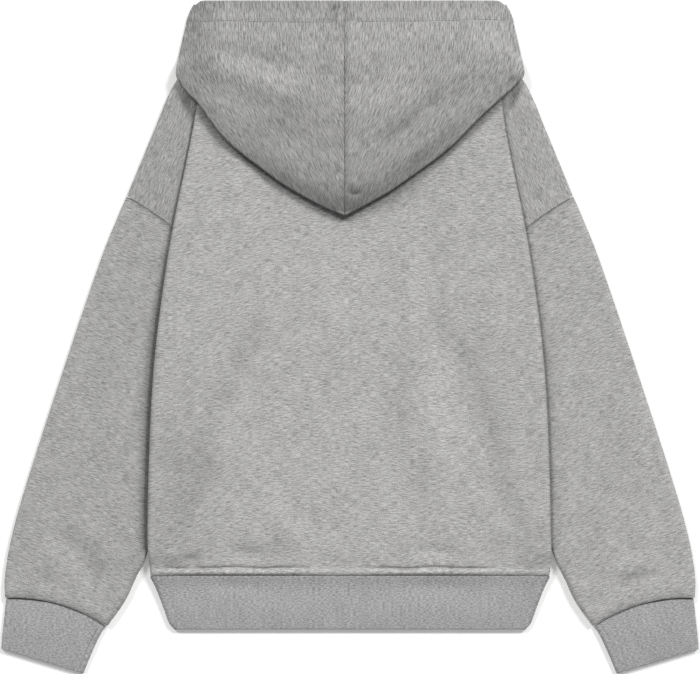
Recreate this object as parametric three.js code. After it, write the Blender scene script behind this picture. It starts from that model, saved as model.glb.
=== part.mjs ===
import * as THREE from "three";

// Toddler hoodie in brushed fleece, laid face down with its hood folded over the back.
// Sizes are in millimetres. The table tops give places as "down", the distance below the hood's
// top edge, and "half", the distance from the middle line. The side is +1 for +X and -1 for -X.
// The origin is the middle of the outline on the surface that the garment lies on.

// Cloth and seams
const FLEECE = 1.6;
const RIB = 2.4;
const SEAM_GAP = 0.3;
const SPARE = 0.1;
const PITCH = FLEECE + SEAM_GAP;

// Overall sizes
const LENGTH = 552.8;
const BODY_HEM = 472.3;
const BAND_HEIGHT = 44;

// Neck and shoulders
const NECK_HALF = 75.4;
const SHOULDER_DOWN = 37.7;
const BACK_NECK_DROP = 8.2;
const FRONT_NECK_DROP = 47.6;
const SHOULDER_SLOPE = 0.189;
const SHOULDER_END = { down: 47.6, half: 127.9 };

// The side pleat, folded in between front and back, and the armpit at its lower end
const PLEAT_TOP = { down: 46, half: 112 };
const ARMPIT = { down: 246, half: 88 };
const ARMHOLE_BOW = 7;
const ARMHOLE_OUTER = { down: 159.9, half: 182.9 };
const CUFF_BOW = 6;
const SLEEVE_END = { outerDown: 489.5, innerDown: 512.5 };

// Heights of the laid layers
const BODY_REST = 2.9;
const SLEEVE_TOP = 5.6;
const RAMP = 34;
const SETTLE = 26;
const PAST_FOLD = 1;

// Where the sleeves, and the folds over them, come down to rest, and over what distance
const SLEEVES_REST = { down: 452, over: 40 };
const FOLDS_REST = { down: 450, over: 20 };

// The folded edge of the body, where it lies over the sleeve
const BODY_EDGE = [
  { down: 46, half: 118.6 },
  { down: 92, half: 126.2 },
  { down: 131, half: 133.7 },
  { down: 187, half: 145.1 },
  { down: 238, half: 153.3 },
  { down: 295, half: 160.2 },
  { down: 357, half: 164 },
  { down: 443, half: 165.9 },
  { down: BODY_HEM, half: 163.8 },
];

// Where the raised side of the back begins, over the pleat and the sleeve
const STACK_EDGE = [
  { down: 46, half: 110 },
  { down: 246, half: 86 },
  { down: 300, half: 110 },
  { down: 400, half: 144 },
  { down: 450, half: 156 },
  { down: BODY_HEM, half: 157 },
];

// The outline of shoulder and sleeve
const OUTER_EDGE = [
  { down: 47.6, half: 127.9 },
  { down: 68.9, half: 144.7 },
  { down: 108.2, half: 161.5 },
  { down: 159.9, half: 182.9 },
  { down: 206.6, half: 202.1 },
  { down: 305, half: 235.8 },
  { down: 403.4, half: 267.7 },
  { down: 442.8, half: 278.4 },
  { down: 472.3, half: 283.3 },
  { down: 489.5, half: 283.3 },
];

// The under edge of the sleeve, hidden down to the body's edge
const INNER_EDGE = [
  { down: 246, half: 97 },
  { down: 452.6, half: 166.5 },
  { down: 472.3, half: 175.1 },
  { down: 492, half: 184.1 },
  { down: 512.5, half: 198.6 },
];

// The cuff from its seam to its end
const CUFF = [
  { outerDown: 490.2, outerHalf: 282.3, innerDown: 513.2, innerHalf: 200.6 },
  { outerDown: 504, outerHalf: 283.8, innerDown: 524, innerHalf: 206.5 },
  { outerDown: 519, outerHalf: 285.5, innerDown: 539, innerHalf: 213.2 },
  { outerDown: 532.6, outerHalf: 286.6, innerDown: LENGTH, innerHalf: 218.9 },
];

// The side of the hem band below its seam
const BAND_SIDE = [
  { below: SEAM_GAP, half: 163.5 },
  { below: 10, half: 158.7 },
  { below: 28, half: 152.4 },
  { below: 39, half: 148.8 },
  { below: BAND_HEIGHT, half: 144.6 },
];

// The crown seam's distance from the middle line, and how far down it the hood's widest corner and
// its last row are matched
const CROWN_SEAM = -4.3;
const CROWN_CORNER = 53;
const CROWN_LOW = 171;

// The fold that outlines the hood, with the matching place on the crown seam, from the opening
// round the widest corner to the tip
const HOOD_SIDE = [
  { down: 1.2, half: 128.3, crown: 0 },
  { down: 9.8, half: 131.6, crown: 8 },
  { down: 20.5, half: 134.8, crown: 17 },
  { down: 31, half: 137.4, crown: 26 },
  { down: 42, half: 139.9, crown: 35 },
  { down: 52.5, half: 141.9, crown: 44 },
  { down: 63.1, half: 142.3, crown: CROWN_CORNER },
];
const HOOD_LOWER = {
  left: [
    { down: 74, half: 136 },
    { down: 84.5, half: 125.6 },
    { down: 97.6, half: 116 },
    { down: 108.5, half: 107.3 },
    { down: 119, half: 97 },
    { down: 129, half: 84.6 },
    { down: 138, half: 72.2 },
    { down: 147.5, half: 59.6 },
    { down: 157, half: 44.6 },
    { down: 165.3, half: 29.6 },
    { down: 171.8, half: 16.5 },
    { down: 176.8, half: 4.45 },
  ],
  right: [
    { down: 72.5, half: 133.5 },
    { down: 84, half: 121 },
    { down: 95.6, half: 107.8 },
    { down: 107, half: 96.3 },
    { down: 117.8, half: 85.2 },
    { down: 127.8, half: 73 },
    { down: 137, half: 60.4 },
    { down: 146.2, half: 47.4 },
    { down: 155.6, half: 34 },
    { down: 163.4, half: 20.6 },
    { down: 170.4, half: 8 },
    { down: 176.8, half: -4.15 },
  ],
};

// The hood's two rows at the corner of the neck, where its cloth steps up over the shoulder line
const NECK_CORNER = [
  {
    start: { down: 35, half: 75.2, height: 1.2 },
    turning: { down: 33, half: 76, height: 1.2 },
    gate: { down: 33, half: 82, height: 4.2 },
  },
  {
    start: { down: 35.9, half: 75, height: 4.9 },
    turning: { down: 36.9, half: 77, height: 5.1 },
    gate: { down: 38.2, half: 81.8, height: 5.4 },
  },
];
const HOOD_LOFT = 5.2;
const HOOD_OPENING_LOFT = 2.8;
const LOFT_REACHED = 0.4;
const LOFT_AT_CROWN = 0.8;
const HOOD_CLEARANCE = 1.6;

// Where the front rows of the hood leave the neck, from the middle line to the shoulder
const FRONT_GATE = { middle: { down: 27, half: 64 }, shoulder: { down: 25, half: 75 } };
const BACK_GATE = 0.12;
const FRONT_TURNING = 0.6;

// How finely each sheet is divided
const NECK_STEPS = 6;
const RAMP_STEPS = 4;
const STACK_STEPS = 2;
const BODY_ROWS = 12;
const TURN_STEPS = 4;
const PLEAT_STEPS = 2;
const SLEEVE_ROWS = 12;

const lerp = (from, to, share) => from + (to - from) * share;
const clamp = (value, low, high) => Math.min(Math.max(value, low), high);
const level = (layer) => FLEECE / 2 + layer * PITCH;
const counted = (first, last, make) =>
  Array.from({ length: last - first + 1 }, (_, i) => make(first + i));

// A soft step from 0 to 1.
function smooth(share) {
  const t = clamp(share, 0, 1);
  return t * t * (3 - 2 * t);
}

// The distance from the middle line at a place down a table, by a soft curve through its rows.
function halfAt(table, down) {
  const last = table.length - 2;
  const i = clamp(table.findIndex((row) => row.down > down) - 1, 0, last);
  const at = down >= table[last + 1].down ? last : i;
  const slope = (n) => {
    const before = table[Math.max(n - 1, 0)];
    const after = table[Math.min(n + 1, last + 1)];
    return (after.half - before.half) / (after.down - before.down);
  };
  const span = table[at + 1].down - table[at].down;
  const t = clamp((down - table[at].down) / span, 0, 1);
  const bend = t * (1 - t) * span;
  return (
    lerp(table[at].half, table[at + 1].half, smooth(t)) +
    bend * ((1 - t) * slope(at) - t * slope(at + 1))
  );
}

const bodyEdge = (down) => halfAt(BODY_EDGE, down);
const outerEdge = (down) => halfAt(OUTER_EDGE, down);
const innerEdge = (down) => halfAt(INNER_EDGE, down);
const stackEdge = (down) => halfAt(STACK_EDGE, down);

// A place in plan, and the same place as a point of the model.
const plan = (down, half) => ({ down, half });
const between = (a, b, share) =>
  plan(lerp(a.down, b.down, share), lerp(a.half, b.half, share));

function point(place, height, side) {
  return new THREE.Vector3(side * place.half, LENGTH / 2 - place.down, height);
}

function direction(from, to) {
  const length = Math.hypot(to.down - from.down, to.half - from.half);
  return plan((to.down - from.down) / length, (to.half - from.half) / length);
}

const moved = (place, way, distance) =>
  plan(place.down + way.down * distance, place.half + way.half * distance);

// A sheet of cloth: its middle surface as points, each with the way its outer face looks.
class Sheet {
  constructor(side = 1) {
    this.side = side;
    this.points = [];
    this.facings = [];
    this.quads = [];
  }

  add(place, height, facing = { up: 1, down: 0, half: 0 }, side = this.side) {
    this.points.push(point(place, height, side));
    this.facings.push(new THREE.Vector3(side * facing.half, -facing.down, facing.up));
    return this.points.length - 1;
  }

  quad(...corners) {
    const [a, b, c, d] = corners.map((i) => this.points[i]);
    const across = c.clone().sub(a).cross(d.clone().sub(b));
    const facing = new THREE.Vector3();
    corners.forEach((i) => facing.add(this.facings[i]));
    this.quads.push(across.dot(facing) > 0 ? corners : corners.reverse());
  }

  grid(rows) {
    for (let j = 0; j + 1 < rows.length; j += 1) {
      for (let i = 0; i + 1 < rows[j].length; i += 1) {
        this.quad(rows[j][i], rows[j][i + 1], rows[j + 1][i + 1], rows[j + 1][i]);
      }
    }
  }

  // The sheet as a closed wall: both faces, and a rim along every open edge.
  wall(thickness) {
    const count = this.points.length;
    const shifted = (sign) =>
      this.points.map((p, i) => p.clone().addScaledVector(this.facings[i], (sign * thickness) / 2));
    const faces = [];
    const edges = new Map();
    for (const [a, b, c, d] of this.quads) {
      faces.push([a, b, c], [a, c, d]);
      faces.push([c, b, a].map((i) => i + count), [d, c, a].map((i) => i + count));
      for (const [from, to] of [[a, b], [b, c], [c, d], [d, a]]) {
        edges.set(`${from},${to}`, [from, to]);
      }
    }
    for (const [from, to] of edges.values()) {
      if (!edges.has(`${to},${from}`)) {
        faces.push([to, from, from + count], [to, from + count, to + count]);
      }
    }
    const geometry = new THREE.BufferGeometry();
    geometry.setFromPoints([...shifted(1), ...shifted(-1)]);
    geometry.setIndex(faces.flat());
    geometry.computeVertexNormals();
    return geometry;
  }
}

// Points round a turned edge, from one layer to the next. "from" and "to" are shares of a half
// turn, "start" is +1 where the turn begins on top, and "hollow" is -1 where the cloth's outer
// face looks into the turn.
function turn(sheet, centre, way, height, radius, { from = 0, to = 1, start = 1, hollow = 1, side }) {
  const steps = Math.round(TURN_STEPS * Math.abs(to - from));
  return Array.from({ length: steps + 1 }, (_, i) => {
    const angle = Math.PI * lerp(from, to, i / steps);
    const out = Math.sin(angle);
    const up = start * Math.cos(angle);
    return sheet.add(
      moved(centre, way, radius * out),
      height + radius * up,
      { up: hollow * up, down: hollow * out * way.down, half: hollow * out * way.half },
      side,
    );
  });
}

// Heights of the middle of each layer

// How far a place of the arm is out from between the body's folds, from 0 to 1.
function outOfBody(place) {
  const clear = smooth((place.half - bodyEdge(place.down) - PAST_FOLD) / SETTLE);
  const below = smooth((place.down - SLEEVES_REST.down) / SLEEVES_REST.over);
  return Math.max(clear, below);
}

const armUpper = (place) => lerp(level(3), SLEEVE_TOP, outOfBody(place));
const armLower = (place) => lerp(level(2), level(0), outOfBody(place));

// The folds over the sleeve settle by two layers below the place where the sleeve comes out.
const settled = (down) => 2 * PITCH * smooth((down - FOLDS_REST.down) / FOLDS_REST.over);

function backHeight(place) {
  const rise = smooth((place.half - stackEdge(place.down) + RAMP) / RAMP);
  return lerp(BODY_REST, level(5) - settled(place.down), rise);
}

// Front and back panels

const neckHalf = (step) => NECK_HALF * Math.sin(((Math.PI / 2) * step) / NECK_STEPS);

function topOfPanel(half, neckDrop) {
  const inNeck = Math.min(half / NECK_HALF, 1);
  return (
    SHOULDER_DOWN +
    neckDrop * Math.sqrt(1 - inNeck * inNeck) +
    SHOULDER_SLOPE * Math.max(half - NECK_HALF, 0)
  );
}

// Distances from the middle line across one row: the neck's columns, the ramp and the stack.
function columns(down, foldHalf) {
  const stack = stackEdge(down);
  const inner = stack - RAMP;
  return [
    ...counted(0, NECK_STEPS, (i) => (inner * neckHalf(i)) / NECK_HALF),
    ...counted(1, RAMP_STEPS, (i) => lerp(inner, stack, i / RAMP_STEPS)),
    ...counted(1, STACK_STEPS, (i) => lerp(stack, foldHalf, i / STACK_STEPS)),
  ];
}

// How far down the folded edge each row of the panel meets it.
const rowDown = (row) =>
  row < BODY_ROWS ? lerp(BODY_EDGE[0].down, FOLDS_REST.down, row / (BODY_ROWS - 1)) : BODY_HEM;

const PLEAT_RADIUS = PITCH / 2;
const FOLD_INSET = PLEAT_RADIUS + FLEECE / 2;
const OUTWARD = plan(0, 1);
const INWARD = plan(0, -1);

// The row of the arm part from the pleat to the outer edge. It bows towards the neck more and
// more, and the last one is the armhole seam.
function armRow(share) {
  const pleat = between(PLEAT_TOP, ARMPIT, share);
  const outerDown = lerp(SHOULDER_END.down, ARMHOLE_OUTER.down, share);
  const outer = plan(outerDown, outerEdge(outerDown));
  const start = moved(pleat, OUTWARD, FOLD_INSET);
  const way = direction(start, outer);
  const radius = (armUpper(outer) - armLower(outer)) / 2;
  const end = moved(outer, way, -radius - FLEECE / 2);
  const bowWay = plan(-way.half, way.down);
  const at = (t) => moved(between(start, end, t), bowWay, 4 * ARMHOLE_BOW * share * t * (1 - t));
  return { at, way };
}

// The share of an arm row where it comes out from under the body's folded edge, kept away from
// both ends so that no step is too short.
const SEARCH_STEPS = 100;
const LEAST_HIDDEN = 0.08;
const MOST_HIDDEN = 0.8;

function comingOut(at) {
  const shares = counted(0, SEARCH_STEPS, (i) => i / SEARCH_STEPS);
  const out = shares.find((t) => at(t).half > bodyEdge(at(t).down) + PAST_FOLD);
  return clamp(out ?? 1, LEAST_HIDDEN, MOST_HIDDEN);
}

const HIDDEN_STEPS = 2;
const SHOWN_STEPS = 5;

function armShares(at) {
  const out = comingOut(at);
  return [
    ...counted(0, HIDDEN_STEPS, (i) => (out * i) / HIDDEN_STEPS),
    ...counted(1, SHOWN_STEPS, (i) => lerp(out, 1, i / SHOWN_STEPS)),
  ];
}

// One panel. "face" is +1 for the back, which lies on top, and -1 for the front.
function panel(face, neckDrop) {
  const sheet = new Sheet();
  const facing = { up: face, down: 0, half: 0 };
  const mainHeight = (place) => (face > 0 ? backHeight(place) : level(0));
  const armHeight = face > 0 ? armUpper : armLower;
  const main = [];
  const sides = { 1: [], "-1": [] };
  for (let row = 0; row <= BODY_ROWS; row += 1) {
    const down = rowDown(row);
    const fold = plan(down, bodyEdge(down) - FOLD_INSET);
    const halves = columns(down, fold.half);
    const topHalves = columns(BODY_EDGE[0].down, BODY_EDGE[0].half - FOLD_INSET);
    const share = (down - BODY_EDGE[0].down) / (BODY_HEM - BODY_EDGE[0].down);
    const placeOf = (i) => plan(lerp(topOfPanel(topHalves[i], neckDrop), BODY_HEM, share), halves[i]);
    const line = (side) =>
      halves.map((_, i) => {
        const place = placeOf(i);
        return sheet.add(place, mainHeight(place), facing, side);
      });
    const right = line(1);
    const left = line(-1).slice(1);
    main.push([...left.reverse(), ...right]);
    for (const side of [1, -1]) {
      const edge = side > 0 ? main[row][main[row].length - 1] : main[row][0];
      sides[side].push([edge, ...sideOfPanel(sheet, face, row, side, placeOf(halves.length - 1))]);
    }
  }
  sheet.grid(main);
  sheet.grid(sides[1]);
  sheet.grid(sides[-1]);
  return sheet.wall(FLEECE);

  // The rest of a row, from the folded edge under to the pleat and out again to the outer edge.
  function sideOfPanel(cloth, up, row, side, fold) {
    const share = row / BODY_ROWS;
    const last = row === BODY_ROWS;
    const top = mainHeight(fold);
    const folded = turn(cloth, fold, OUTWARD, top - up * PLEAT_RADIUS, PLEAT_RADIUS, { start: up, side });
    const arm = armRow(share);
    const underEdge = top - up * PITCH;
    const underPleat = armHeight(arm.at(0)) + up * PITCH;
    const sewn = level(up > 0 ? 3 : 2);
    const under = [];
    for (let i = 1; i < PLEAT_STEPS + 1; i += 1) {
      const t = i / (PLEAT_STEPS + 1);
      const height = last ? sewn : lerp(underEdge, underPleat, t);
      const place = between(fold, arm.at(0), t);
      under.push(cloth.add(place, height, { up: -up, down: 0, half: 0 }, side));
    }
    const pleat = turn(cloth, arm.at(0), INWARD, underPleat - up * PLEAT_RADIUS, PLEAT_RADIUS, {
      start: up,
      hollow: -1,
      side,
    });
    const outer = armShares(arm.at)
      .slice(1, -1)
      .map((t) => cloth.add(arm.at(t), armHeight(arm.at(t)), facing, side));
    const end = arm.at(1);
    const radius = (armUpper(end) - armLower(end) - SEAM_GAP) / 2;
    const middle = armHeight(end) - up * radius;
    const rim = turn(cloth, end, arm.way, middle, radius, { to: 0.5, start: up, side });
    return [...folded.slice(1), ...under, ...pleat, ...outer, ...rim];
  }
}

// Tubes laid flat: a closed section in each row, from the inner turn over the top to the outer
// turn and back underneath.
function tube(side, rows, thickness) {
  const sheet = new Sheet(side);
  const rings = rows.map(({ at, shares, upper, lower }) => {
    const start = at(0);
    const end = at(1);
    const out = direction(at(shares[shares.length - 2]), end);
    const back = direction(at(shares[1]), start);
    const down = { up: -1, down: 0, half: 0 };
    const top = shares.slice(1, -1).map((t) => sheet.add(at(t), upper(at(t))));
    const bottom = shares.slice(1, -1).map((t) => sheet.add(at(t), lower(at(t)), down));
    const edge = (centre, way, from) => {
      const middle = (upper(centre) + lower(centre)) / 2;
      const radius = (upper(centre) - lower(centre)) / 2;
      return turn(sheet, centre, way, middle, radius, { start: from });
    };
    const outer = edge(end, out, 1);
    const inner = edge(start, back, -1);
    const ring = [...top, ...outer, ...bottom.reverse(), ...inner];
    return [...ring, ring[0]];
  });
  sheet.grid(rings);
  return sheet.wall(thickness);
}

// A chord between the two edges of a tube, drawn in by its turns and bowed towards the neck.
function chord(inner, outer, thickness, upper, lower, bow) {
  const way = direction(inner, outer);
  const inset = (place) => (upper(place) - lower(place) + thickness) / 2;
  const start = moved(inner, way, inset(inner));
  const end = moved(outer, way, -inset(outer));
  const bowWay = plan(-way.half, way.down);
  return (t) => moved(between(start, end, t), bowWay, 4 * bow * t * (1 - t));
}

// The sleeve starts beside the armhole seam, past the pleat, and a little farther off by the
// armpit. Its upper layer sinks towards the cuff over the last share of its length.
const SEAM_START = 0.1;
const ARMPIT_CLEARANCE = 1.2;
const OFF_SEAM = { down: 1, half: 0.33 };
const SINK = 1.1;
const SINK_FROM = 0.85;

function sleeve(side) {
  const seam = armRow(1);
  const clearance = (t) => SEAM_GAP + SPARE + ARMPIT_CLEARANCE * (1 - t) ** 3;
  const seamAt = (t) => moved(seam.at(lerp(SEAM_START, 1, t)), OFF_SEAM, clearance(t));
  const flatSeam = (t) => between(seamAt(0), seamAt(1), t);
  const rows = [];
  for (let row = 0; row <= SLEEVE_ROWS; row += 1) {
    const share = row / SLEEVE_ROWS;
    const taper = smooth((share - SINK_FROM) / (1 - SINK_FROM));
    const upper = (place) => armUpper(place) - SINK * taper;
    const outerDown = lerp(ARMHOLE_OUTER.down, SLEEVE_END.outerDown, share);
    const innerDown = lerp(ARMPIT.down, SLEEVE_END.innerDown, share);
    const inner = plan(innerDown, innerEdge(innerDown));
    const outer = plan(outerDown, outerEdge(outerDown));
    const bowed = chord(inner, outer, FLEECE, upper, armLower, CUFF_BOW * share);
    const at = (t) => {
      if (row === 0) return seamAt(t);
      const fade = 1 - share;
      const place = bowed(t);
      const bend = seamAt(t);
      const straight = flatSeam(t);
      return plan(
        place.down + fade * (bend.down - straight.down),
        place.half + fade * (bend.half - straight.half),
      );
    };
    rows.push({ at, shares: armShares(at), upper, lower: armLower });
  }
  return tube(side, rows, FLEECE);
}

const RIB_LOW = RIB / 2;
const RIB_SPACE = 0.5;
const RIB_TOP = RIB_LOW + RIB + RIB_SPACE;

function cuff(side) {
  const shares = [0, 0.15, 0.38, 0.62, 0.85, 1];
  const rows = CUFF.map((row, i) => {
    const inner = plan(row.innerDown, row.innerHalf);
    const outer = plan(row.outerDown, row.outerHalf);
    const upper = () => RIB_TOP;
    const lower = () => RIB_LOW;
    const at = chord(inner, outer, RIB, upper, lower, CUFF_BOW * (1 - i / (CUFF.length - 1)));
    return { at, shares, upper, lower };
  });
  return tube(side, rows, RIB);
}

// The band's corners rise over the folded sides of the body.
const BAND_STEPS = 12;
const CORNER = { rise: 2, reach: 45, over: 40 };

function hemBand() {
  const shares = counted(0, BAND_STEPS, (i) => i / BAND_STEPS);
  const rows = BAND_SIDE.map(({ below, half }) => {
    const down = BODY_HEM + below;
    const upper = (place) => {
      const corner = smooth((Math.abs(place.half) - half + CORNER.reach) / CORNER.over);
      return RIB_TOP + CORNER.rise * corner * smooth(1 - below / BAND_HEIGHT);
    };
    const lower = () => RIB_LOW;
    const at = chord(plan(down, -half), plan(down, half), RIB, upper, lower, 0);
    return { at, shares, upper, lower };
  });
  return tube(1, rows, RIB);
}

// The hood

// The height of what the hood lies on. It falls to the surface short of the shoulder line, whose
// outer part has the slope of the arm's edge, and steps down past the body's fold.
const ARM_SLOPE = 1.27;
const OFF_SHOULDER = { before: 14, over: 9 };
const OFF_FOLD = { past: 2, over: 12 };

function underHood(place) {
  const { down, half } = place;
  const reach = Math.abs(half);
  const pastShoulder = ARM_SLOPE * Math.max(reach - SHOULDER_END.half, 0);
  const top = topOfPanel(Math.min(reach, SHOULDER_END.half), BACK_NECK_DROP) + pastShoulder;
  const onBody = smooth((down - top + OFF_SHOULDER.before) / OFF_SHOULDER.over);
  const laid = plan(down, reach);
  const overFold = smooth((reach - bodyEdge(down) - OFF_FOLD.past) / OFF_FOLD.over);
  const cloth = lerp(backHeight(laid), armUpper(laid), overFold);
  return onBody * (cloth + FLEECE / 2);
}

const LIFTED_AT = 3;
const onTop = (place) => smooth(underHood(place) / LIFTED_AT);
const hoodLower = (place) => FLEECE / 2 + underHood(place) + onTop(place) * HOOD_CLEARANCE;

const NECK_ROWS = NECK_STEPS;
const OVER_ROWS = 12;
const OVER_STEPS = 7;
const BACK_NECK_INSET = 0.5;

function hood(side) {
  const sheet = new Sheet();
  const lower = side > 0 ? HOOD_LOWER.right : HOOD_LOWER.left;
  const outline = [
    ...HOOD_SIDE,
    ...lower.map((row, i) => ({
      ...row,
      crown: lerp(CROWN_CORNER, CROWN_LOW, (i + 1) / lower.length),
    })),
  ];
  const seamHalf = side * CROWN_SEAM + SEAM_GAP / 2;
  const rows = outline.map((edge, row) => hoodRow(edge, row));
  sheet.grid(rows);
  return sheet.wall(FLEECE);

  function outlineWay(row) {
    if (row === 0) return OUTWARD;
    if (row === outline.length - 1) return plan(1, 0);
    const along = direction(outline[row - 1], outline[row + 1]);
    return plan(-along.half, along.down);
  }

  function hoodRow(edge, row) {
    const way = outlineWay(row);
    const down = { up: -1, down: 0, half: 0 };
    const share = row / (outline.length - 1);
    const loft = lerp(HOOD_OPENING_LOFT, HOOD_LOFT, smooth(share / LOFT_REACHED));
    const radius = loft / 2;
    const centre = moved(edge, way, -radius - FLEECE / 2);
    const low = hoodLower(centre);
    const start = neckEdge(row);
    const gate = gateway(row, start, centre);
    const turning = turningPlace(row, start, gate);
    const under = [start, turning, gate].map((place) => sheet.add(place, place.height, down, side));
    for (const t of [0.25, 0.5, 0.75]) {
      const place = between(gate, centre, t);
      under.push(sheet.add(place, hoodLower(place), down, side));
    }
    const fold = turn(sheet, centre, way, low + radius, radius, { start: -1, side });
    const crown = plan(edge.crown, seamHalf);
    const over = counted(1, OVER_STEPS, (i) => {
      const t = i / OVER_STEPS;
      const place = between(centre, crown, t);
      const puff = lerp(loft, loft * LOFT_AT_CROWN, smooth(t));
      return sheet.add(place, hoodLower(place) + puff, undefined, side);
    });
    return [...under, ...fold, ...over];
  }

  // The neck edge: rows up to the shoulder follow the front neckline, the rest the back one.
  function neckEdge(row) {
    if (row < NECK_ROWS) {
      const half = neckHalf(row);
      const place = plan(topOfPanel(half, FRONT_NECK_DROP), half);
      const middle = plan(SHOULDER_DOWN, 0);
      const inside = moved(place, direction(place, middle), SEAM_GAP + SPARE);
      return { down: inside.down, half: Math.max(inside.half, SEAM_GAP / 2), height: level(0) };
    }
    if (corner(row)) return corner(row).start;
    const step = NECK_STEPS * (1 - (row - NECK_ROWS - 1) / (OVER_ROWS - 1));
    const half = Math.max(neckHalf(step), seamHalf);
    const place = plan(topOfPanel(half, BACK_NECK_DROP) - BACK_NECK_INSET, half);
    return { ...place, height: BODY_REST + PITCH };
  }

  // The place that a row passes on its way out of the neck, over the shoulder line.
  function gateway(row, start, end) {
    if (corner(row)) return corner(row).gate;
    const share = row / (NECK_ROWS - 1);
    const front = between(FRONT_GATE.middle, FRONT_GATE.shoulder, share);
    const place = row < NECK_ROWS ? front : between(start, end, BACK_GATE);
    return { ...place, height: hoodLower(place) };
  }

  // Between the neck edge and the gateway, a row of the front stays low till it is out of the neck.
  function turningPlace(row, start, gate) {
    if (corner(row)) return corner(row).turning;
    const front = row < NECK_ROWS;
    const place = between(start, gate, front ? FRONT_TURNING : 1 / 2);
    return { ...place, height: front ? start.height : hoodLower(place) };
  }

  function corner(row) {
    return NECK_CORNER[row - NECK_ROWS];
  }
}

// The garment

const HEATHER = new THREE.Color(0.42, 0.42, 0.415);
const HEATHER_RIB = new THREE.Color(0.37, 0.375, 0.37);

function piece(name, geometry, color) {
  const material = new THREE.MeshStandardMaterial({ color, roughness: 0.95, metalness: 0 });
  const mesh = new THREE.Mesh(geometry, material);
  mesh.name = name;
  return mesh;
}

const hoodie = new THREE.Group();
hoodie.add(piece("back_panel", panel(1, BACK_NECK_DROP), HEATHER));
hoodie.add(piece("front_panel", panel(-1, FRONT_NECK_DROP), HEATHER));
hoodie.add(piece("hem_band", hemBand(), HEATHER_RIB));
for (const [word, side] of [["left", -1], ["right", 1]]) {
  hoodie.add(piece(`sleeve_${word}`, sleeve(side), HEATHER));
  hoodie.add(piece(`cuff_${word}`, cuff(side), HEATHER_RIB));
  hoodie.add(piece(`hood_${word}`, hood(side), HEATHER));
}

export default hoodie;
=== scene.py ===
"""Toddler hoodie in marled fleece, laid face down with its hood folded over the back.

Places in plan are given as "down", the distance below the hood's top edge, and "half" or "across",
the distance from the middle line. Sizes are in millimetres until a mesh is made, in metres.
"""

import logging
from dataclasses import dataclass
from enum import Enum

import bpy
import numpy as np
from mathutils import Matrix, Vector


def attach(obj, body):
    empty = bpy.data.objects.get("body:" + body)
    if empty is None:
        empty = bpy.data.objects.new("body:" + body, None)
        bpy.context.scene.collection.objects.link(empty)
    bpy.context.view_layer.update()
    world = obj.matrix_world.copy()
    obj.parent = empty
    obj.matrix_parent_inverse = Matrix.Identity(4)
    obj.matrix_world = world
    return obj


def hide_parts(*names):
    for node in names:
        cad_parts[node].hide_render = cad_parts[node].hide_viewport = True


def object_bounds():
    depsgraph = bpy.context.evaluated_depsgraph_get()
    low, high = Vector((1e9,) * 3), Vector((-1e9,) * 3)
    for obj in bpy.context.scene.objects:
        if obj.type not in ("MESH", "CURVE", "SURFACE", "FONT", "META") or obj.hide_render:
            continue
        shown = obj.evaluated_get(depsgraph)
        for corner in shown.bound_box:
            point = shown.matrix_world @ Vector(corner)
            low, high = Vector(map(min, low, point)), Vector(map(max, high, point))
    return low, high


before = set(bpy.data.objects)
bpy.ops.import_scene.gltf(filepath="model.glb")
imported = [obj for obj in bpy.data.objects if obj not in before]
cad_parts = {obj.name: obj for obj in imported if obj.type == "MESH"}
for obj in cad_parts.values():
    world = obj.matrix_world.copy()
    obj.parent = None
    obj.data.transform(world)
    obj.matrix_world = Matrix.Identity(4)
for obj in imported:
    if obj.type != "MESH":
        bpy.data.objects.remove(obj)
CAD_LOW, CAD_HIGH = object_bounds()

Array = np.ndarray
Socket = bpy.types.NodeSocket
Piece = bpy.types.Object
LOG = logging.getLogger("hoodie")
MM = 0.001
LENGTH = (CAD_HIGH.y - CAD_LOW.y) / MM

# Cloth and seams
FLEECE = 1.6
RIB = 2.4
SEAM_GAP = 0.3
PITCH = FLEECE + SEAM_GAP

# Neck, shoulder and hem, as in the solids
BODY_HEM = 472.3
NECK_HALF = 75.4
FRONT_NECK_DROP = 47.6
BACK_NECK_DROP = 8.2
SHOULDER_DOWN = 37.7
SHOULDER_SLOPE = 0.189
SHOULDER_TIP = (47.6, 127.9)

# The folded edge and the pleat under it: the panel's rows are even in steps to the last fold
FOLD_TOP = 46.0
LAST_FOLD = 450.0
PANEL_STEPS = 12
PLEAT_HALF = (112.0, 88.0)

# How far down the armhole seam and the cuff seam meet the sleeve's inner and outer edges
ARMHOLE_INNER, ARMHOLE_OUTER = 246.0, 159.9
CUFF_INNER, CUFF_OUTER = 512.5, 489.5

# Heights of the back over the front alone, and of the arm's upper layer outside the body
BACK_LOW = 2.9
ARM_FREE = 5.6

# How far each part's marl is shifted, so that no two parts show the same streaks
SHOULDER_SHIFT = 411.0
SLEEVE_SHIFT = 533.0
HOOD_SHIFT = 277.0
CUFF_SHIFT = 97.0


class Side(Enum):
    """The side of the garment as laid, seen from above."""

    LEFT = -1
    RIGHT = 1

    @property
    def word(self) -> str:
        """The side's name as the solids have it."""
        return self.name.lower()


class Face(Enum):
    """Which panel of the body, and the way that its outer face looks."""

    BACK = 1
    FRONT = -1


def smooth(share: Array) -> Array:
    """A soft step from 0 to 1: three times the share squared, less twice its cube."""
    t = np.clip(share, 0.0, 1.0)
    return t * t * (3.0 - 2.0 * t)


def lerp(start: Array, end: Array, share: Array) -> Array:
    """The value at a share of the way from start to end."""
    return start + (end - start) * share


def level(layer: float) -> float:
    """Height of the middle of a layer of fleece, counted from the surface."""
    return FLEECE / 2 + layer * PITCH


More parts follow.
